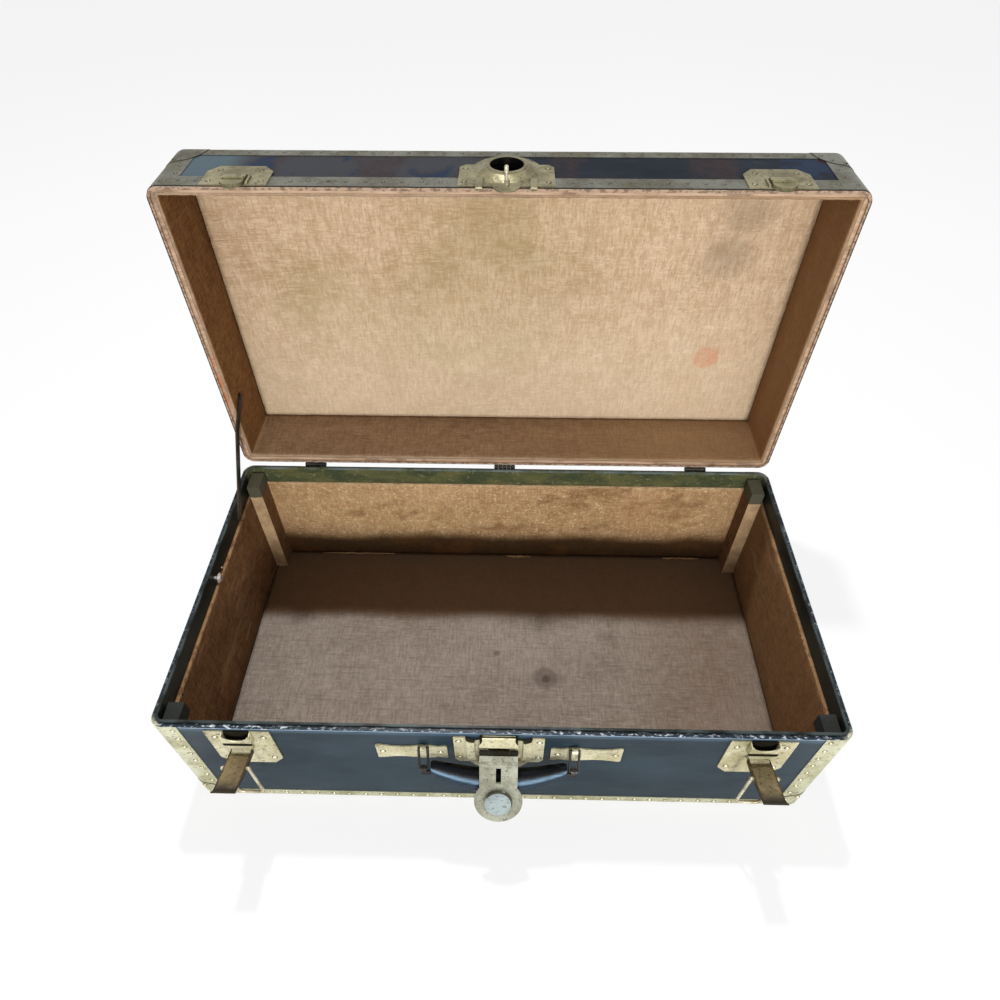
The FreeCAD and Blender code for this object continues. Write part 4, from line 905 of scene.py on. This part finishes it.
def ripple(point, seed):
    """How far the cloth rises at a point, about 0 to 1."""
    return 0.5 + 0.5 * noise.fractal(point * 22 + Vector((seed, 0, 0)), 0.8, 2.1, 3)


def close_slab(bm, face, back, around=None):
    """Joins two grids of points into a closed slab. around: a look per column, where it runs round."""
    rows, columns = len(face) - 1, len(face[0])
    for i in range(columns if around else columns - 1):
        n = (i + 1) % columns
        quads = [(face[j][i], back[j][i], back[j][n], face[j][n]) for j in (0, rows)]
        for grid in (face, back):
            quads += [(grid[j][i], grid[j][n], grid[j + 1][n], grid[j + 1][i]) for j in range(rows)]
        for quad in quads:
            bm.faces.new(quad).material_index = around[i] if around else 0
    if not around:
        for i in (0, columns - 1):
            for j in range(rows):
                bm.faces.new((face[j + 1][i], back[j + 1][i], back[j][i], face[j][i]))
    bmesh.ops.recalc_face_normals(bm, faces=bm.faces)


def cloth_panel(name, corner, across, up, inward, look, body, seed):
    """Lining cloth pasted on a board: a thin closed slab whose face ripples slightly."""
    corner, across, up, inward = (Vector(v) for v in (corner, across, up, inward))
    thick = 1 * MM
    nu = round(across.length / CELL)
    nv = round(up.length / CELL)
    bm = bmesh.new()
    face, back = [], []
    for j in range(nv + 1):
        face.append([])
        back.append([])
        for i in range(nu + 1):
            base = corner + across * (i / nu) + up * (j / nv)
            lift = RELIEF * ripple(base, seed) * min(1, min(i, nu - i, j, nv - j) / 2)
            face[-1].append(bm.verts.new(base + inward * (thick * 0.55 + lift)))
            back[-1].append(bm.verts.new(base))
    close_slab(bm, face, back)
    thing = piece(name, bm, [look], body)
    return thing


def ring_stations(outer, inner):
    """Places round four walls: face, back, direction inwards, cells to a corner, 0 long wall or 1 end."""
    corners = [(-1, -1), (1, -1), (1, 1), (-1, 1)]
    stations = []
    for k, (sx, sy) in enumerate(corners):
        tx, ty = corners[(k + 1) % 4]
        start = Vector((sx * inner[0], sy * inner[1], 0))
        end = Vector((tx * inner[0], ty * inner[1], 0))
        count = round((end - start).length / CELL)
        outward = Vector((0, sy, 0)) if sy == ty else Vector((sx, 0, 0))
        thick = outer[1] - inner[1] if sy == ty else outer[0] - inner[0]
        for i in range(count):
            at = start.lerp(end, i / count)
            back = at + outward * thick
            if i == 0:
                back = Vector((sx * outer[0], sy * outer[1], 0))
            stations.append((at, back, -outward, min(i, count - i), k % 2))
    return stations


def lining_ring(name, outer, inner, low, high, place, looks, body, seed):
    """Cloth-faced board round four walls, with a frayed upper edge. looks: for the long and end walls."""
    stations = ring_stations(outer, inner)
    rows = round((high - low) / CELL)
    end_lift = 0 if body == "lid" else 1  # the shut stay lies close to the lid's end wall
    bm = bmesh.new()
    face, back = [], []
    for j in range(rows + 1):
        face.append([])
        back.append([])
        level = low + (high - low) * j / rows
        for at, behind, inward, free, wall in stations:
            point = at + Vector((0, 0, level))
            lift = RELIEF * ripple(point, seed) * min(1, free / 2, (rows - j) / 2 + 0.4)
            fray = 0
            if j == rows:
                fray = 1.6 * MM * max(0, noise.noise(point * 190))
                lift = 1.1 * MM * max(0, noise.noise(point * 120)) * min(1, free / 2)
            if wall == 1:
                lift *= end_lift
            face[-1].append(bm.verts.new(place(point + inward * lift - Vector((0, 0, fray)))))
            back[-1].append(bm.verts.new(place(behind + Vector((0, 0, level)))))
    close_slab(bm, face, back, [station[4] for station in stations])
    thing = piece(name, bm, looks, body)
    return thing


canvas = cloth_panel("lid_canvas_panel", (-IN_X, panel_high.y, panel_low.z), (2 * IN_X, 0, 0),
                     (0, 0, panel_high.z - panel_low.z), (0, -1, 0), CANVAS, "lid", 3)
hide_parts("lid_top_lining")
floor_cloth = cloth_panel("body_floor_cloth", (-IN_X, -IN_Y, lining_low.z), (2 * IN_X, 0, 0),
                          (0, 2 * IN_Y, 0), (0, 0, 1), FLOOR_CLOTH, "trunk", 9)
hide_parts("body_floor_lining")

liner_low, liner_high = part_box("body_liner")
body_lining = lining_ring("body_wall_lining", (liner_high.x, liner_high.y), (IN_X, IN_Y), liner_low.z,
                          liner_high.z, Vector, [WALL_CLOTH, SIDE_CLOTH], "trunk", 5)
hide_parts("body_liner")
lid_liner_low, lid_liner_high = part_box("lid_liner")
SHUT_LINER_LOW = RIM + lid_liner_low.y - HINGE.y
SHUT_LINER_HIGH = SHUT_TOP - 7.5 * MM
lid_lining = lining_ring("lid_wall_lining", (lid_liner_high.x, liner_high.y), (IN_X, IN_Y),
                         -SHUT_LINER_HIGH, -SHUT_LINER_LOW, lambda p: shut_to_open((p.x, p.y, -p.z)),
                         [LID_LONG, LID_SIDE], "lid", 8)
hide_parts("lid_liner")

# ---- loose threads and torn paper ----


def thread(bm, start, heading, length, radius, sag):
    """One loose thread: a three-sided tube of four short runs that curls as it goes."""
    at = Vector(start)
    heading = Vector(heading).normalized()
    rings = []
    for k in range(5):
        turn = heading.to_track_quat("Z", "Y").to_matrix()
        rings.append(circle_points(bm, at, turn, radius * (1 - 0.15 * k), 0, 3))
        at = at + heading * (length / 4)
        stray = Vector([random.uniform(-1, 1) for axis in "xyz"])
        heading = (heading + Vector(sag) + stray * 0.25).normalized()
    join_rings(bm, rings)
    bm.faces.new(rings[-1])


BACK_THREADS, SIDE_THREADS = 150, 60


def frayed_edge():
    """Loose threads along the top of the body's lining, most of them on the back wall."""
    bm = bmesh.new()
    level = LINER_TOP - 0.3 * MM
    for k in range(BACK_THREADS):
        x = random.uniform(-IN_X + 0.03, IN_X - 0.03)
        side = random.choice((-1, 1))
        thread(bm, (x, IN_Y - 0.2 * MM, level), (side, -0.25, random.uniform(-0.3, 0.4)),
               random.uniform(3, 9) * MM, 0.22 * MM, (0, -0.02, -0.1))
    for k in range(SIDE_THREADS):
        side = random.choice((-1, 1))
        y = random.uniform(-IN_Y + 0.03, IN_Y - 0.04)
        thread(bm, (side * (IN_X - 0.2 * MM), y, level),
               (-0.2 * side, random.choice((-1, 1)), random.uniform(-0.3, 0.3)),
               random.uniform(3, 8) * MM, 0.2 * MM, (0, 0, -0.12))
    return piece("frayed_threads", bm, [THREAD], "trunk")


frayed_edge()
STRIP_CELLS = 26


def torn_strip(name, x, from_wall, length, width, seed):
    """A torn strip of backing paper at the foot of the back wall: thin, curled, ragged on both edges."""
    start = Vector((x, IN_Y - from_wall, FLOOR))
    bm = bmesh.new()
    top, under = ([], []), ([], [])
    for i in range(STRIP_CELLS + 1):
        s = i / STRIP_CELLS
        ragged = 0.5 + 0.5 * noise.noise(Vector((s * 14, seed, 0)))
        half = width * 0.5 * (0.35 + 0.65 * ragged) * math.sin(math.pi * min(1, max(0.02, s))) ** 0.4
        lift = 1.2 * MM + 0.9 * MM * noise.noise(Vector((s * 5, seed, 3)))
        wander = 1 * MM * noise.noise(Vector((s * 9, seed, 7)))
        for k, off in enumerate((-half, half)):
            at = start + Vector((length * s, off + wander, lift + k * 1.6 * MM))
            top[k].append(bm.verts.new(at))
            under[k].append(bm.verts.new(at - Vector((0, 0, 0.35 * MM))))
    close_slab(bm, top, under)
    return piece(name, bm, [TORN], "trunk")


torn_strip("torn_backing_middle", 0.004, 5 * MM, 40 * MM, 5 * MM, 2)
torn_strip("torn_backing_left", -0.3, 3 * MM, 120 * MM, 2.6 * MM, 5)
torn_strip("torn_backing_right", 0.26, 4 * MM, 60 * MM, 3.4 * MM, 9)
nail_set("loose_lining_nail", [((-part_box("body_liner")[1].x, 30 * MM, 178 * MM), (1, 0, 0))], STUD, "trunk",
         1.6 * MM, 1.2 * MM)

# ---- leather grip ----

link_at = Vector(joints["link_swing"]["pos_m"])
bar_at = Vector(joints["grip_tilt"]["pos_m"])
OUTWARD = (bar_at - link_at).normalized()  # from the plate's eye towards the grip
SIDEWARD = Vector((0, OUTWARD.z, -OUTWARD.y))  # across the roll
GRIP_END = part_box("handle_grip")[1].x
GRIP_REACH, GRIP_SAG = 42.8 * MM, 17 * MM
GRIP_WIDE, GRIP_WIDE_LOSS = 15 * MM, 5.5 * MM
GRIP_DEEP, GRIP_DEEP_LOSS = 10 * MM, 3.5 * MM
SEAM = math.radians(62)  # where round the roll it is sewn
GRIP_SIDES, GRIP_RINGS, STITCHES = 40, 90, 38


def grip_point(share, angle, swell=1):
    """A point of the roll's skin: share is -1 to 1 along it, angle goes round it from its outer side."""
    reach = GRIP_REACH - GRIP_SAG * abs(share) ** 1.8
    centre = link_at + OUTWARD * reach
    centre.x = GRIP_END * share
    wide = (GRIP_WIDE - GRIP_WIDE_LOSS * share ** 2) * swell
    deep = (GRIP_DEEP - GRIP_DEEP_LOSS * share ** 2) * swell
    return centre + OUTWARD * (wide * math.cos(angle)) + SIDEWARD * (deep * math.sin(angle))


def leather_grip():
    """Padded leather roll, slimmer and rounded off at the ends, with a sewn seam along its lower side."""
    bm = bmesh.new()
    laid = bm.loops.layers.uv.new("round")
    rings = []
    for i in range(GRIP_RINGS + 1):
        share = -1 + 2 * i / GRIP_RINGS
        near_end = min(i, GRIP_RINGS - i)
        swell = (0.78, 0.9, 0.96, 0.99)[near_end] if near_end < 4 else 1
        pucker = 1 - 0.012 * abs(math.sin(share * 95)) if near_end < 9 else 1
        ring = []
        for k in range(GRIP_SIDES):
            a = 2 * math.pi * k / GRIP_SIDES
            off = math.atan2(math.sin(a - SEAM), math.cos(a - SEAM))
            groove = 1 - 0.05 * math.exp(-(off / 0.1) ** 2)
            groove += 0.025 * math.exp(-((abs(off) - 0.28) / 0.12) ** 2)
            ring.append(bm.verts.new(grip_point(share, a, swell * pucker * groove * 0.985)))
        rings.append(ring)
    for i, (low, high) in enumerate(zip(rings, rings[1:])):
        for k in range(GRIP_SIDES):
            n = (k + 1) % GRIP_SIDES
            face = bm.faces.new((low[k], high[k], high[n], low[n]))
            for loop, (u, v) in zip(face.loops, ((i, k), (i + 1, k), (i + 1, k + 1), (i, k + 1))):
                loop[laid].uv = (u / GRIP_RINGS, v / GRIP_SIDES)
    bm.faces.new(rings[0])
    bm.faces.new(list(reversed(rings[-1])))
    bmesh.ops.recalc_face_normals(bm, faces=bm.faces)
    return piece("leather_grip", bm, [LEATHER], "grip")


def grip_stitches():
    """Waxed stitches either side of the seam."""
    bm = bmesh.new()
    for k in range(STITCHES):
        for off in (-0.24, 0.24):
            share = -0.92 + 1.84 * k / STITCHES
            start = grip_point(share, SEAM + off)
            end = grip_point(share + 0.024, SEAM + off)
            thread(bm, start, end - start, (end - start).length, 0.4 * MM, (0, 0, 0))
    return piece("grip_stitching", bm, [STITCH], "grip")


grip = leather_grip()
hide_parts("handle_grip")
grip_stitches()

# ---- stage, light and camera ----

STAGE_HALF = 6


def stage_floor():
    """A pale floor that the camera sees as almost white."""
    bm = bmesh.new()
    for x, y in ((-1, -1), (1, -1), (1, 1), (-1, 1)):
        bm.verts.new((x * STAGE_HALF, y * STAGE_HALF, -0.2 * MM))
    bm.faces.new(bm.verts)
    mat = bpy.data.materials.new("pale_floor")
    mat.use_nodes = True
    s = Shading(mat.node_tree)
    shader = s.tree.nodes["Principled BSDF"]
    for name, value in (("Base Color", (0.86, 0.86, 0.86, 1)), ("Roughness", 0.9), ("Specular IOR Level", 0)):
        s.feed(shader.inputs[name], value)
    glow = s.node("Emission", {"Color": (1, 1, 1, 1)}).outputs[0]
    seen = s.math("MULTIPLY", s.node("LightPath").outputs["Is Camera Ray"], 0.8)
    blend = s.node("MixShader", {0: seen, 1: shader.outputs[0], 2: glow})
    s.feed(s.tree.nodes["Material Output"].inputs[0], blend.outputs[0])
    mesh_object("pale_floor", bm, [mat])


def white_world(strength):
    """Lights the object softly; the camera and what shines see plain white."""
    world = bpy.data.worlds.new("studio")
    scene.world = world
    world.use_nodes = True
    s = Shading(world.node_tree)
    back = s.tree.nodes["Background"]
    s.feed(back.inputs["Color"], (1, 1, 1, 1))
    path = s.node("LightPath")
    seen = path.outputs["Is Camera Ray"]
    for other in ("Is Glossy Ray", "Is Transmission Ray"):
        seen = s.math("MAXIMUM", seen, path.outputs[other])
    level = s.node("MapRange", {"To Min": strength, "To Max": 1, "Value": seen})
    s.feed(back.inputs["Strength"], level.outputs[0])


def lamp(name, at, target, size, power):
    """A round lamp turned to its target."""
    data = bpy.data.lights.new(name, "AREA")
    data.shape = "DISK"
    data.size = size
    data.energy = power
    thing = add_object(name, data)
    thing.location = at
    thing.rotation_mode = "QUATERNION"
    thing.rotation_quaternion = (Vector(target) - Vector(at)).to_track_quat("-Z", "Y")


stage_floor()
white_world(0.5)
lamp("key_high", (-0.2, 0.66, 2.6), (0, 0, 0.1), 0.11, 44)
lamp("fill_front", (0.4, -2.9, 1.25), (0, 0.1, 0.3), 0.6, 62)

CAMERA_AT = (7.85 * MM, -520.6 * MM, 922.2 * MM)
CAMERA_TURN = (math.radians(47.644), math.radians(0.805), math.radians(-0.946))
to_view = (Matrix.Rotation(CAMERA_TURN[2], 3, "Z") @ Matrix.Rotation(CAMERA_TURN[1], 3, "Y")
           @ Matrix.Rotation(CAMERA_TURN[0], 3, "X"))
camera = add_object("camera", bpy.data.cameras.new("camera"))
for key, value in {"lens": 25.08, "sensor_width": 36, "shift_x": 0.002, "shift_y": 0.0007,
                   "clip_start": 0.01}.items():
    setattr(camera.data, key, value)
basis = Matrix((to_view[0], to_view[2], -to_view[1])).transposed()
camera.matrix_world = Matrix.Translation(CAMERA_AT) @ basis.to_4x4()
scene.camera = camera
scene.view_settings.view_transform = "Standard"
